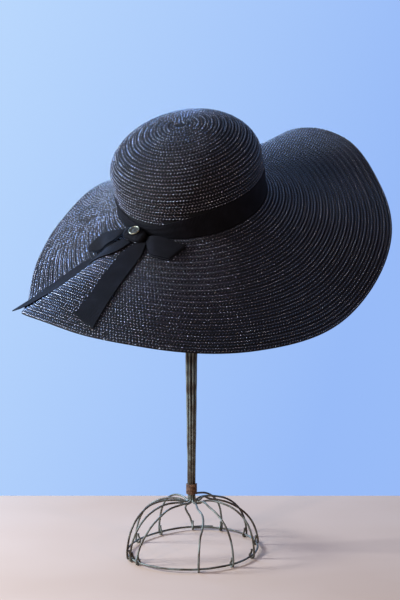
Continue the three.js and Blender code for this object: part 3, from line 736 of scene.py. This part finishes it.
# %% [markdown]
# The tails are two ends of the same ribbon. They fall from the knot onto the brim: one straight
# down the front, one along the sharp fold and out past the brim's left tip, where it was cut to a
# point. The loops go out from the knot in one layer, turn, and come back in another. The back
# edges of the left tail and of both loops stand a little higher here than in the solids, so that
# the ribbon turns its dark face to the eye and the straw shows through the slot below the loop.

# %% Tables of the bow: back edge (azimuth, reach, lift), then front edge
TAIL_FRONT = [
    (232.5, 0.115, 3.4, 238.4, 0.07, 3.4),
    (230.0, 0.17, 2.6, 240.0, 0.145, 2.6),
    (229.4, 0.29, 1.8, 240.5, 0.23, 1.8),
    (230.9, 0.48, 2.4, 240.0, 0.41, 1.8),
    (232.5, 0.69, 1.7, 240.4, 0.65, 2.2),
    (233.1, 0.855, 1.7, 241.4, 0.93, 1.7),
]
TAIL_LEFT = [
    (222.5, 0.105, 4.0, 228.5, 0.115, 3.2),
    (215.0, 0.21, 3.8, 224.0, 0.25, 2.2),
    (204.0, 0.33, 4.2, 213.0, 0.38, 2.1),
    (198.0, 0.46, 5.0, 205.0, 0.52, 2.1),
    (194.5, 0.62, 4.6, 200.5, 0.68, 2.1),
    (192.8, 0.82, 4.0, 198.0, 0.86, 2.1),
    (193.3, 0.99, 3.0, 198.5, 1.0, 2.1),
    (195.2, 1.09, 2.1, 196.4, 1.09, 2.1),
]
LOOP_RIGHT = [
    (237.3, 0.03, 4.6, 239.2, 0.08, 4.6),
    (243.0, 0.025, 8.5, 246.0, 0.18, 6.0),
    (251.5, 0.03, 8.0, 250.5, 0.196, 6.0),
    (258.5, 0.054, 6.4, 253.8, 0.203, 5.5),
    (265.0, 0.085, 4.8, 257.0, 0.21, 5.0),
]
LOOP_LEFT = [
    (218.1, 0.04, 8.4, 218.8, 0.09, 7.0),
    (207.0, 0.10, 12.5, 217.5, 0.175, 7.6),
    (200.4, 0.155, 12.5, 213.5, 0.215, 7.2),
    (196.8, 0.26, 11.0, 204.5, 0.28, 7.0),
    (195.0, 0.33, 9.0, 197.0, 0.335, 7.6),
]
LOOP_RIGHT_LOWER_LIFT = 1.8
LOOP_LEFT_LOWER_LIFT = 4.4
STRIP_STEPS = 8
STRIP_COLUMNS = 12
print("the left tail's edges are given at", len(TAIL_LEFT), "places")

# %% Strips along the tables
def loop_rows(rows, lower_lift):
    lower = [(a, b, lower_lift, d, e, lower_lift) for a, b, _, d, e, _ in rows]
    return lower + rows[::-1]


def through_rows(rows, steps):
    """A smooth curve through every column of a table."""
    table = np.array(rows, float)
    table = np.concatenate([table[:1], table, table[-1:]])
    out = []
    for t in np.linspace(0, len(rows) - 1, (len(rows) - 1) * steps + 1):
        first = min(int(t), len(rows) - 2)
        p0, p1, p2, p3 = table[first:first + 4]
        u = t - first
        out.append(0.5 * (2 * p1 + (p2 - p0) * u + (2 * p0 - 5 * p1 + 4 * p2 - p3) * u ** 2
                          + (3 * p1 - p0 - 3 * p2 + p3) * u ** 3))
    return np.array(out)


def ribbon_grid(rows, is_draped):
    """Draped, the strip follows the brim across its width; otherwise it spans straight."""
    read = through_rows(rows, STRIP_STEPS)[:, None, :]
    share = np.linspace(0, 1, STRIP_COLUMNS + 1)[None, :, None]
    back, front = read[..., :3], read[..., 3:]
    if is_draped:
        return above_brim(back * (1 - share) + front * share)
    return above_brim(back) * (1 - share) + above_brim(front) * share


def flat_size(grid):
    """What a strip was cut to: width, length and area, in metres and square metres."""
    width = np.linalg.norm(np.diff(grid, axis=1), axis=2).sum(axis=1).max() * MM
    length = np.linalg.norm(np.diff(grid, axis=0), axis=2).sum(axis=0).max() * MM
    a, b = grid[1:, 1:] - grid[:-1, :-1], grid[1:, :-1] - grid[:-1, 1:]
    area = np.linalg.norm(np.cross(a, b), axis=2).sum() / 2 * MM ** 2
    return (width, length), min(area, width * length)


print("right loop, out and back:", len(loop_rows(LOOP_RIGHT, LOOP_RIGHT_LOWER_LIFT)), "rows")

# %% Tails and loops
strips = []
for name, solid, rows, held in (
        ("tail_front_ribbon", "ribbon_tail_front", TAIL_FRONT, "draped"),
        ("tail_left_ribbon", "ribbon_tail_left", TAIL_LEFT, "draped"),
        ("loop_right_ribbon", "bow_loop_right",
         loop_rows(LOOP_RIGHT, LOOP_RIGHT_LOWER_LIFT), "folded"),
        ("loop_left_ribbon", "bow_loop_left",
         loop_rows(LOOP_LEFT, LOOP_LEFT_LOWER_LIFT), "folded")):
    grid = ribbon_grid(rows, held == "draped")
    strip = sheet(name, grid, -RIBBON / 2, RIBBON / 2, grosgrain)
    sharpen_rims(strip)
    flat, area = flat_size(grid)
    strips.append((strip, solid, held, flat, area))
    print(name, "was cut to", [round(v, 3) for v in flat], "m")

# %% [markdown]
# ## The knot
#
# The knot is the ribbon wrapped once round the middle of the bow. A sheet could be wound round it,
# but only its outside shows, so it is a soft pad with rounded corners, creased along the
# way that the wrap runs.

# %% The knot
KNOT = {"radius": 105.0, "height": 3.9, "lean": math.radians(14), "boxiness": 0.75}
KNOT_HALF = np.array([9.6, 17.0, 5.6])
KNOT_MIDDLE_DIP = 0.4
# place, width and depth of each crease
CREASES = [(-9.5, 1.6, 0.7), (-3.0, 1.2, 0.45), (4.5, 1.6, 0.8), (10.5, 1.3, 0.5)]


def knot_place(points):
    """From the knot's own frame to the upright hat, in millimetres."""
    cos, sin = math.cos(KNOT["lean"]), math.sin(KNOT["lean"])
    lean = np.array([[cos, 0, sin], [0, 1, 0], [-sin, 0, cos]])
    placed = np.asarray(points) @ lean.T + np.array([KNOT["radius"], 0, KNOT["height"]])
    angle = math.radians(KNOT_AZIMUTH)
    cos, sin = math.cos(angle), math.sin(angle)
    return placed @ np.array([[cos, -sin, 0], [sin, cos, 0], [0, 0, 1]]).T


def make_knot():
    around, down = 72, 36
    fall = np.linspace(0, math.pi, down + 1)[1:-1]
    ball = polar(np.sin(fall), np.radians(round_steps(around))[:, None], np.cos(fall))
    shape = np.sign(ball) * np.abs(ball) ** KNOT["boxiness"] * KNOT_HALF
    pinch = np.zeros(shape.shape[:2])
    for place, width, depth in CREASES:
        pinch += depth * np.exp(-(((shape[..., 1] - place) / width) ** 2))
    shape[..., 2] -= np.sign(shape[..., 2]) * pinch * np.abs(ball[..., 2])
    pole = KNOT_HALF[2] - KNOT_MIDDLE_DIP
    vertices = np.concatenate([shape.reshape(-1, 3), [[0, 0, pole], [0, 0, -pole]]])
    rings = down - 1
    faces = []
    for i, k in neighbours(around, is_round=True):
        a, b = i * rings, k * rings
        faces.append((len(vertices) - 2, a, b))
        faces.append((len(vertices) - 1, b + rings - 1, a + rings - 1))
        faces += [(a + j, a + j + 1, b + j + 1, b + j) for j in range(rings - 1)]
    piece = link_mesh("knot_ribbon", on_stand(knot_place(vertices)), faces, grosgrain)
    lay_uv(piece, vertices[:, :2])
    return piece


knot = make_knot()
print("the knot has", len(knot.data.polygons), "faces and", len(CREASES), "creases")

# %% [markdown]
# ## The badge
#
# A small round metal badge sits on the knot: a polished pale-gold rim round a plain dark centre.
# It is left bare. A lathe profile with rounded corners gives the rim its thin bright line.

# %% Badge materials
pale_gold, gold_tree, gold_shader = new_material("polished_pale_gold", {
    "Base Color": linear("#a9a28c"), "Metallic": 1.0, "Roughness": 0.3})
scuffs = add_node(gold_tree, "ShaderNodeTexNoise", {"Scale": 900, "Detail": 2})
rough = add_node(gold_tree, "ShaderNodeMapRange", {"To Min": 0.16, "To Max": 0.4},
                 {"Value": scuffs})
gold_tree.links.new(rough.outputs["Result"], gold_shader.inputs["Roughness"])

dark_disc, disc_tree, disc_shader = new_material("darkened_brass", {
    "Base Color": linear("#4a463c"), "Metallic": 0.4, "Roughness": 0.45})
patina = add_node(disc_tree, "ShaderNodeTexNoise", {"Scale": 600, "Detail": 3})
add_colour(disc_tree, disc_shader, patina, [(0.35, "#2c2b29"), (0.7, "#56534a")])
print("badge finishes:", pale_gold.name, "and", dark_disc.name)

# %% The badge
BADGE_RADIUS, BADGE_RIM, BADGE_HEIGHT = 7.0, 1.4, 1.8
BADGE_SHIFT = -1.6
RIM_CORNERS = 14
BADGE_SEAT = KNOT_HALF[2] + FIT_GAP


def lathe(name, profile, steps, place, material, is_ring):
    """Turns a profile of (radius, height) about Z. A ring's profile closes on itself."""
    profile = np.array(profile, float)
    turn = np.radians(round_steps(steps))[:, None]
    points = polar(profile[:, 0], turn, profile[:, 1]).reshape(-1, 3)
    count = len(profile)
    faces = []
    for i, k in neighbours(steps, is_round=True):
        a, b = i * count, k * count
        faces += [(a + j, b + j, b + m, a + m) for j, m in neighbours(count, is_ring)]
    if not is_ring:
        faces.append(tuple(i * count for i in reversed(range(steps))))
        faces.append(tuple(i * count + count - 1 for i in range(steps)))
    return link_mesh(name, place(points), faces, material)


def on_knot(points):
    return on_stand(knot_place(points + np.array([BADGE_SHIFT, 0, BADGE_SEAT])))


rim_half, rim_rise = BADGE_RIM / 2, BADGE_HEIGHT / 2
rim_middle = BADGE_RADIUS - rim_half
rim_profile = [(rim_middle + rim_half * math.cos(t), rim_rise + rim_rise * math.sin(t))
               for t in np.radians(round_steps(RIM_CORNERS))]
badge_rim = lathe("badge_rim", rim_profile, 48, on_knot, pale_gold, True)
DISC_RADIUS = BADGE_RADIUS - BADGE_RIM - FIT_GAP
# A bevelled edge, a groove between two slopes, and a middle that rises a little.
disc_profile = [(DISC_RADIUS, 0), (DISC_RADIUS, 0.8), (DISC_RADIUS - 0.3, 1.0), (3.2, 1.0),
                (3.0, 0.8), (2.6, 0.8), (2.4, 1.0), (0.6, 1.1)]
badge_disc = lathe("badge_centre", disc_profile, 40, on_knot, dark_disc, False)
print("the badge is", 2 * BADGE_RADIUS, "mm across")

# %% [markdown]
# ## Old steel wire
#
# The stand is soft steel wire that has stood in the damp: grey-green and dull, paler where hands
# have rubbed it, with brown rust in patches some 35 mm apart. The thin wire of the bindings has
# rusted all over. Both are the same recipe with other colours. The solids' wires are 2.4 mm
# thick, and the round ones here are drawn 2.7 mm thick, as the photograph shows them.

# %% Wire materials
PIT = 1.5 * MM


def make_wire_finish(name, stops, patch, roughness, metallic):
    material, tree, shader = new_material(name, {"Metallic": metallic, "Roughness": roughness})
    add_colour(tree, shader, add_noise(tree, patch, 6, Roughness=0.65), stops)
    pits = add_noise(tree, PIT, 3)
    add_bump(tree, shader, pits.outputs["Fac"], 0.6, 0.3 * MM)
    return material


# Half metal, half dull: a grey-green line with brown breaks, not a bright chrome one.
old_wire = make_wire_finish("oxidised_steel_wire", [
    (0.3, "#261a12"), (0.42, "#43362a"), (0.5, "#5d574b"), (0.58, "#757870"), (0.7, "#4c3b2b")],
    0.035, 0.5, 0.5)
# Brown and without gloss, so that the binding stands out from the bundle.
rusty_wire = make_wire_finish("rusted_binding_wire", [
    (0.3, "#2e2019"), (0.5, "#62412c"), (0.7, "#9a7358")], 0.006, 0.8, 0.2)
print("wire finishes:", old_wire.name, "and", rusty_wire.name)

# %% [markdown]
# Each wire runs from a hook on the foot's ring, up over the foot's dome, through the stem and over
# the head's dome to a hook on the head's ring. The stations come from a short table and a few
# rules, and a Geometry Nodes tree turns the line into round wire: it divides the line evenly,
# bends it a little off true, and sweeps a circle along it. The same tree makes the rings and the
# bindings.

# %% The wire tree
wire_tree, node, given, close = new_tree("bent_wire", {
    "Wire radius": FLOAT, "Sides": INTEGER, "Step": FLOAT, "Waviness": FLOAT,
    "Wave length": FLOAT})
line = node("GeometryNodeMeshToCurve", links={"Mesh": given["Geometry"]})
even = node("GeometryNodeResampleCurve", {"mode": "LENGTH"},
            {"Curve": line, "Length": given["Step"]})
wave_scale = node("ShaderNodeMath", {"operation": "DIVIDE", 0: 1.0}, {1: given["Wave length"]})
wave = node("ShaderNodeTexNoise", {"noise_dimensions": "4D", "Detail": 1},
            {"W": given["Seed"], "Scale": wave_scale})
centred = node("ShaderNodeVectorMath", {"operation": "SUBTRACT", 1: (0.5, 0.5, 0.5)},
               {0: wave.outputs["Color"]})
offset = node("ShaderNodeVectorMath", {"operation": "SCALE"},
              {0: centred, "Scale": given["Waviness"]})
wavy = node("GeometryNodeSetPosition", links={"Geometry": even, "Offset": offset})
section = node("GeometryNodeCurvePrimitiveCircle", links={
    "Resolution": given["Sides"], "Radius": given["Wire radius"]})
close(node("GeometryNodeCurveToMesh", {"Fill Caps": True}, {
    "Curve": wavy, "Profile Curve": section}))
ROUND_WIRE_RADIUS = 1.35
OLD_WIRE = {"Wire radius": ROUND_WIRE_RADIUS * MM, "Sides": 10, "Step": 2.5 * MM,
            "Waviness": 1.2 * MM, "Wave length": 28 * MM, "Finish": old_wire}
print("the wire tree has", len(wire_tree.nodes), "nodes")

# %% Sizes of the stand, in millimetres and degrees
WIRE_CLEARANCE = 2.9
FOOT_HEIGHT = 70
HOOK_RETURN = 9
BUNDLE_RADIUS, BUNDLE_INNER_RADIUS, BUNDLE_SPREAD_RADIUS = 4.05, 1.45, 6.4
BUNDLE_SPREAD_HEIGHT = 265
BUNDLE_NECK = 55
HEAD_NECK = 16
STEM_MIDDLE = 170
SPLAY_RADIUS = 40
BINDING_LENGTH = 15
BINDING_TURNS = 7
BINDING_WIRE = 1.3
BINDING_FOOT_HEIGHT = 75
BINDING_LEAD = 5
BINDING_STEPS = 24     # points in each turn
DIP = {"spread": 9, "outer": 12, "inner": 20.5, "head_outer": 9, "head_inner": 1}
NECK_OUT, NECK_RISE = 1.1, 0.6
KINK_RADIUS, KINK_SPREAD = 16, 4.5
FOOT_RIB_SHARES = (0.98, 0.9, 0.765, 0.585, 0.405, 0.27, 0.18, 0.112)
HEAD_RIB_RADII = (10, 22, 42, 62, 77, 86)
foot_ring_height = ROUND_WIRE_RADIUS + WIRE_CLEARANCE
head_ring_radius = HEAD_RADIUS - WIRE_CLEARANCE
bundle_top = HEAD_CENTRE_HEIGHT + HEAD_RADIUS - HEAD_NECK

# The foot's ring was bent by hand: azimuth, radius
FOOT_RING_PLAN = np.array([
    (7, 86.5), (45, 85), (70, 82.5), (90, 77.5), (112, 73), (132, 71), (150, 72.5), (168, 77),
    (186, 83.5), (204, 89.5), (222, 93), (242, 93.5), (262, 92), (290, 89.5), (315, 87.5),
    (340, 86.5),
], float)

# foot azimuth, fullness, sway and the share of the reach where it is largest, kink,
# place in the bundle, is it an inner wire. The fourth wire bulges aside low down here, as in the
# photograph, and at the middle of its reach in the solid.
WIRES = [
    (11, 2.2, 0, 0.5, 4, 10, False), (34, 2.4, 0, 0.5, 0, 50, False),
    (62, 2.5, 5, 0.4, 0, 90, False), (89, 2.2, 12, 0.93, 0, 110, True),
    (126, 2.6, 0, 0.5, 0, 130, False), (161, 2.6, 0, 0.5, 0, 170, False),
    (208, 3.0, -12, 0.5, 0, 210, False), (214, 2.5, -4, 0.5, 0, 230, True),
    (223, 1.9, 0, 0.5, 0, 250, False), (276, 2.6, 9, 0.65, 0, 290, False),
    (306, 2.7, 0, 0.5, 0, 330, False), (334, 3.0, 4, 0.5, 0, 350, True),
]
print("the bundle's top is", round(bundle_top, 1), "mm above the table")

# %% Where a wire runs
def smoothstep(value, low, high):
    t = min(max((value - low) / (high - low), 0), 1)
    return t * t * (3 - 2 * t)


def lerp(a, b, t):
    return a + (b - a) * t


def bundle_radius(height, is_inner):
    if is_inner:
        return BUNDLE_INNER_RADIUS
    lower = smoothstep(height, BINDING_FOOT_HEIGHT + BINDING_LENGTH, BUNDLE_SPREAD_HEIGHT)
    binding_foot = bundle_top - BINDING_LENGTH
    upper = smoothstep(height, binding_foot - BUNDLE_NECK, binding_foot)
    return lerp(BUNDLE_RADIUS, BUNDLE_SPREAD_RADIUS, lower - upper)


def hook_profile(ring_radius, ring_height):
    """Radius and height along a hook, from its free end round its ring."""
    inside, outside = ring_radius - WIRE_CLEARANCE, ring_radius + WIRE_CLEARANCE
    under, corner = ring_height - WIRE_CLEARANCE, WIRE_CLEARANCE / 2
    pinched = outside - 2.15 * ROUND_WIRE_RADIUS
    return [(pinched, ring_height + HOOK_RETURN), (pinched - 0.2, ring_height + 5),
            (inside + 0.1, ring_height + 1), (inside, ring_height - corner),
            (inside + corner, under), (outside - corner, under), (outside, ring_height - corner)]


def wire_stations(foot, fullness, sway, sway_at, kink, bundle, is_inner, head):
    """The points that one wire passes through, from hook to hook, in stand millimetres."""
    stations = []

    def station(radius, azimuth, height, side=0.0):
        angle, across = math.radians(azimuth), math.radians(foot + 90)
        stations.append((radius * math.cos(angle) + side * math.cos(across),
                         radius * math.sin(angle) + side * math.sin(across), height))

    ring_radius = float(read_round(FOOT_RING_PLAN, foot, 1))
    for radius, height in hook_profile(ring_radius, foot_ring_height):
        station(radius, foot, height)
    dip = DIP["inner"] if is_inner else DIP["outer"]
    height = 0
    sway_power = math.log(0.5) / math.log(sway_at)
    for share in FOOT_RIB_SHARES:
        radius = share * (ring_radius + WIRE_CLEARANCE)
        dome = FOOT_HEIGHT * (1 - share ** fullness) ** (1 / fullness)
        bump = kink * math.exp(-(((radius - KINK_RADIUS) / KINK_SPREAD) ** 2))
        at_rib = smoothstep(radius, BUNDLE_RADIUS, SPLAY_RADIUS)
        height = dome - dip * math.exp(-radius / DIP["spread"]) + bump
        aside = sway * math.sin(math.pi * share ** sway_power) ** 2
        station(radius, lerp(bundle, foot, at_rib), height, aside)
    station(bundle_radius(BINDING_FOOT_HEIGHT, is_inner) + NECK_OUT, bundle, height + NECK_RISE)
    for height in (BINDING_FOOT_HEIGHT - BINDING_LEAD, BINDING_FOOT_HEIGHT + BINDING_LENGTH,
                   STEM_MIDDLE, BUNDLE_SPREAD_HEIGHT, bundle_top - BINDING_LENGTH - BUNDLE_NECK,
                   bundle_top - BINDING_LENGTH, bundle_top):
        station(bundle_radius(height, is_inner), bundle, height)
    dip = DIP["head_inner"] if is_inner else DIP["head_outer"]
    for radius in HEAD_RIB_RADII:
        dome = HEAD_CENTRE_HEIGHT + math.sqrt(HEAD_RADIUS ** 2 - radius ** 2)
        at_rib = smoothstep(radius, BUNDLE_RADIUS, SPLAY_RADIUS)
        station(radius, lerp(bundle, head, at_rib), dome - dip * math.exp(-radius / DIP["spread"]))
    for radius, height in reversed(hook_profile(head_ring_radius, HEAD_CENTRE_HEIGHT)):
        station(radius, head, height)
    return stations


print("at mid-stem the bundle's radius is", round(bundle_radius(STEM_MIDDLE, False), 2), "mm")

# %% From stations to a wire
def on_stem(points):
    return np.asarray(points) * MM + np.array(STEM)


def smooth_line(stations, steps):
    """A rounded line through stations that lie at uneven distances."""
    table = np.array(stations)
    table = np.concatenate([[2 * table[0] - table[1]], table, [2 * table[-1] - table[-2]]])
    out = []
    for i in range(1, len(table) - 2):
        p0, p1, p2, p3 = table[i - 1:i + 3]
        d0, d1, d2 = (math.sqrt(np.linalg.norm(b - a)) for a, b in ((p0, p1), (p1, p2), (p2, p3)))
        slope1 = ((p1 - p0) / d0 - (p2 - p0) / (d0 + d1) + (p2 - p1) / d1) * d1
        slope2 = ((p2 - p1) / d1 - (p3 - p1) / (d1 + d2) + (p3 - p2) / d2) * d1
        for t in np.arange(steps) / steps:
            out.append((2 * t ** 3 - 3 * t ** 2 + 1) * p1 + (t ** 3 - 2 * t ** 2 + t) * slope1
                       + (3 * t ** 2 - 2 * t ** 3) * p2 + (t ** 3 - t ** 2) * slope2)
    return np.array(out + [table[-2]])


def wire_piece(name, points, values):
    guide = link_guide(name, on_stem(points), neighbours(len(points), is_round=False))
    return grow(guide, wire_tree, OLD_WIRE | values)


print("a rounded corner:", smooth_line([(0, 0, 0), (9, 0, 0), (9, 9, 0)], 2).round(1).tolist())

# %% The wires
STATION_STEPS = 6
wire_pieces = []
for index, wire in enumerate(WIRES):
    head = WIRES[0][5] + 360 / len(WIRES) * index
    line_points = smooth_line(wire_stations(*wire, head), STATION_STEPS)
    wire_pieces.append(wire_piece(f"wire_{index + 1:02d}", line_points, {"Seed": index}))

# %% [markdown]
# The foot's ring is a wire bent into a hoop whose two ends lie side by side for a few centimetres
# at the back. A binding is one thin wire wound tightly round the bundle.

# %% Rings and bindings
SPLICE_AZIMUTH = 78
SPLICE_OVERLAP = 16
SPLICE_FADE = 0.06     # share of the hoop over which an end swings back into line
RING_STEP = 3


def hoop_points(plan, height, side_step, lift):
    """A hoop whose ends pass each other: one runs inside and above the other."""
    azimuths = np.arange(SPLICE_AZIMUTH - SPLICE_OVERLAP / 2,
                         SPLICE_AZIMUTH + 360 + SPLICE_OVERLAP / 2 + RING_STEP, RING_STEP)
    share = (azimuths - azimuths[0]) / (azimuths[-1] - azimuths[0])
    near_end = np.exp(-share / SPLICE_FADE) - np.exp(-(1 - share) / SPLICE_FADE)
    radii = read_round(plan, azimuths, 1) + side_step * near_end
    return polar(radii, np.radians(azimuths), height + lift * near_end)


round_plan = np.array([(azimuth, head_ring_radius) for azimuth in (0, 90, 180, 270)], float)
base_ring = wire_piece("foot_ring", hoop_points(FOOT_RING_PLAN, foot_ring_height, 1.2, 0.8),
                       {"Seed": 21, "Waviness": 0.9 * MM})
head_ring = wire_piece("head_ring", hoop_points(round_plan, HEAD_CENTRE_HEIGHT, 1.1, 0.6),
                       {"Seed": 22, "Waviness": 0.5 * MM})


def helix_points(foot):
    turns = np.linspace(0, BINDING_TURNS, BINDING_TURNS * BINDING_STEPS + 1)
    radius = BUNDLE_RADIUS + WIRE_RADIUS + 2 * FIT_GAP + BINDING_WIRE / 2
    pitch = (BINDING_LENGTH - BINDING_WIRE) / BINDING_TURNS
    return polar(radius, turns * 2 * math.pi, foot + BINDING_WIRE / 2 + turns * pitch)


THIN_WIRE = {"Wire radius": 0.85 * MM, "Sides": 8, "Step": 1.6 * MM, "Waviness": 0.5 * MM,
             "Wave length": 6 * MM, "Finish": rusty_wire}
lower_binding = wire_piece("foot_binding", helix_points(BINDING_FOOT_HEIGHT),
                           THIN_WIRE | {"Seed": 31})
upper_binding = wire_piece("head_binding", helix_points(bundle_top - BINDING_LENGTH),
                           THIN_WIRE | {"Seed": 32})

# %% [markdown]
# ## What each piece rides on and stands for
#
# Nothing on this object moves, so everything rides on the one body. Each new piece hides the
# imported solid that it stands for, where there is one. The tails and the loops are cloth,
# and their cut sizes are printed.

# %% Attach the pieces to the body and hide the solids
def dress(piece, slot, *nodes):
    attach(piece, ROOT)
    if nodes:
        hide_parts(*nodes)


dress(brim, "straw_braid", "brim")
dress(crown, "straw_braid", "crown")
for plait in (brim_top, brim_under, crown_plait):
    dress(plait, "straw_braid")
dress(band, "grosgrain_ribbon", "hat_band")
dress(knot, "grosgrain_ribbon", "bow_knot")
for piece, solid, held, flat, area in strips:
    dress(piece, "grosgrain_ribbon", solid)
dress(badge_rim, "badge_metal", "badge_ring")
dress(badge_disc, "badge_centre", "badge_disc")
for index, piece in enumerate(wire_pieces):
    dress(piece, "stand_wire", f"stand_wire_{index + 1:02d}")
dress(base_ring, "stand_wire", "stand_base_ring")
dress(head_ring, "stand_wire", "stand_head_ring")
dress(lower_binding, "rusty_binding_wire", "stand_binding_lower")
dress(upper_binding, "rusty_binding_wire", "stand_binding_upper")
print("soft strips:", len(strips), "and the band")

# %% [markdown]
# ## Floor and light
#
# A plain pale table top stands in a pale-blue room that is lighter towards the upper left and
# grey in front. A small lamp gives each strand a small speck, and a large one would wash the
# specks together. So the window at the left and the main lamp in front are small: the window's
# low light draws the rows on that side. A larger blue one behind tints the rims, and a weak
# warm one fills in from the right.

# %% Floor and room
floor_material, floor_tree, floor_shader = new_material("pale_table", {
    "Roughness": 0.85, "Specular IOR Level": 0.15})
grain = add_node(floor_tree, "ShaderNodeTexNoise", {"Scale": 6, "Detail": 3})
add_colour(floor_tree, floor_shader, grain, [(0.3, "#bfa08a"), (0.7, "#cbae9a")])
TABLE = {"left": -1.4, "right": 1.4, "front": -1.6, "back": 0.208, "thick": 0.03}
corners = [(x, y, z) for z in (0, -TABLE["thick"])
           for x, y in ((TABLE["left"], TABLE["front"]), (TABLE["right"], TABLE["front"]),
                        (TABLE["right"], TABLE["back"]), (TABLE["left"], TABLE["back"]))]
floor = link_mesh("floor", corners, [(0, 1, 2, 3), (7, 6, 5, 4), (0, 4, 5, 1), (1, 5, 6, 2),
                                     (2, 6, 7, 3), (3, 7, 4, 0)], floor_material, smooth=False)

world = bpy.data.worlds.new("room")
bpy.context.scene.world = world
world.use_nodes = True
room = world.node_tree
heading = add_node(room, "ShaderNodeTexCoord")
axes = add_node(room, "ShaderNodeSeparateXYZ", links={"Vector": heading.outputs["Generated"]})


def fade_in(axis, start, end, most=1.0):
    return add_node(room, "ShaderNodeMapRange", {
        "From Min": start, "From Max": end, "To Max": most}, {"Value": axes.outputs[axis]})


behind = fade_in("Y", -0.5, 0.6)
fading = add_node(room, "ShaderNodeMath", {"operation": "ADD"}, {
    0: fade_in("X", -0.13, 0.15), 1: fade_in("Z", 0.0, -0.4, 0.45)})
wall = add_ramp(room, fading, [(0.0, "#bcdafe"), (1.0, "#98bbf8")])
around = add_node(room, "ShaderNodeMix", {"data_type": "RGBA", 6: linear("#46454e")},
                  {"Factor": behind, 7: wall})
room.links.new(around.outputs[2], room.nodes["Background"].inputs["Color"])
print("the table is", TABLE["right"] - TABLE["left"], "m wide")

# %% Lamps
def add_lamp(name, place, target, size, watts, colour):
    data = bpy.data.lights.new(name, "AREA")
    data.shape = "SQUARE"
    data.size = size
    data.energy = watts
    data.color = linear(colour)[:3]
    lamp = link_object(name, data)
    lamp.location = place
    aim = Vector(target) - Vector(place)
    lamp.rotation_euler = aim.to_track_quat("-Z", "Y").to_euler()


add_lamp("window", (-1.8, -0.1, 0.9), (0, 0, 0.45), 0.4, 84, "#d2e9ff")
add_lamp("sky", (-0.9, 1.5, 1.4), (0, 0, 0.45), 0.9, 32, "#8ab6ff")
add_lamp("main", (-1.3, -1.7, 1.1), (0, 0, 0.4), 0.35, 25, "#f6f2f4")
add_lamp("fill", (1.45, -1.25, 1.45), (0, 0, 0.45), 0.25, 6, "#ffd9b0")
print("lamps:", [lamp.name for lamp in bpy.data.lights])
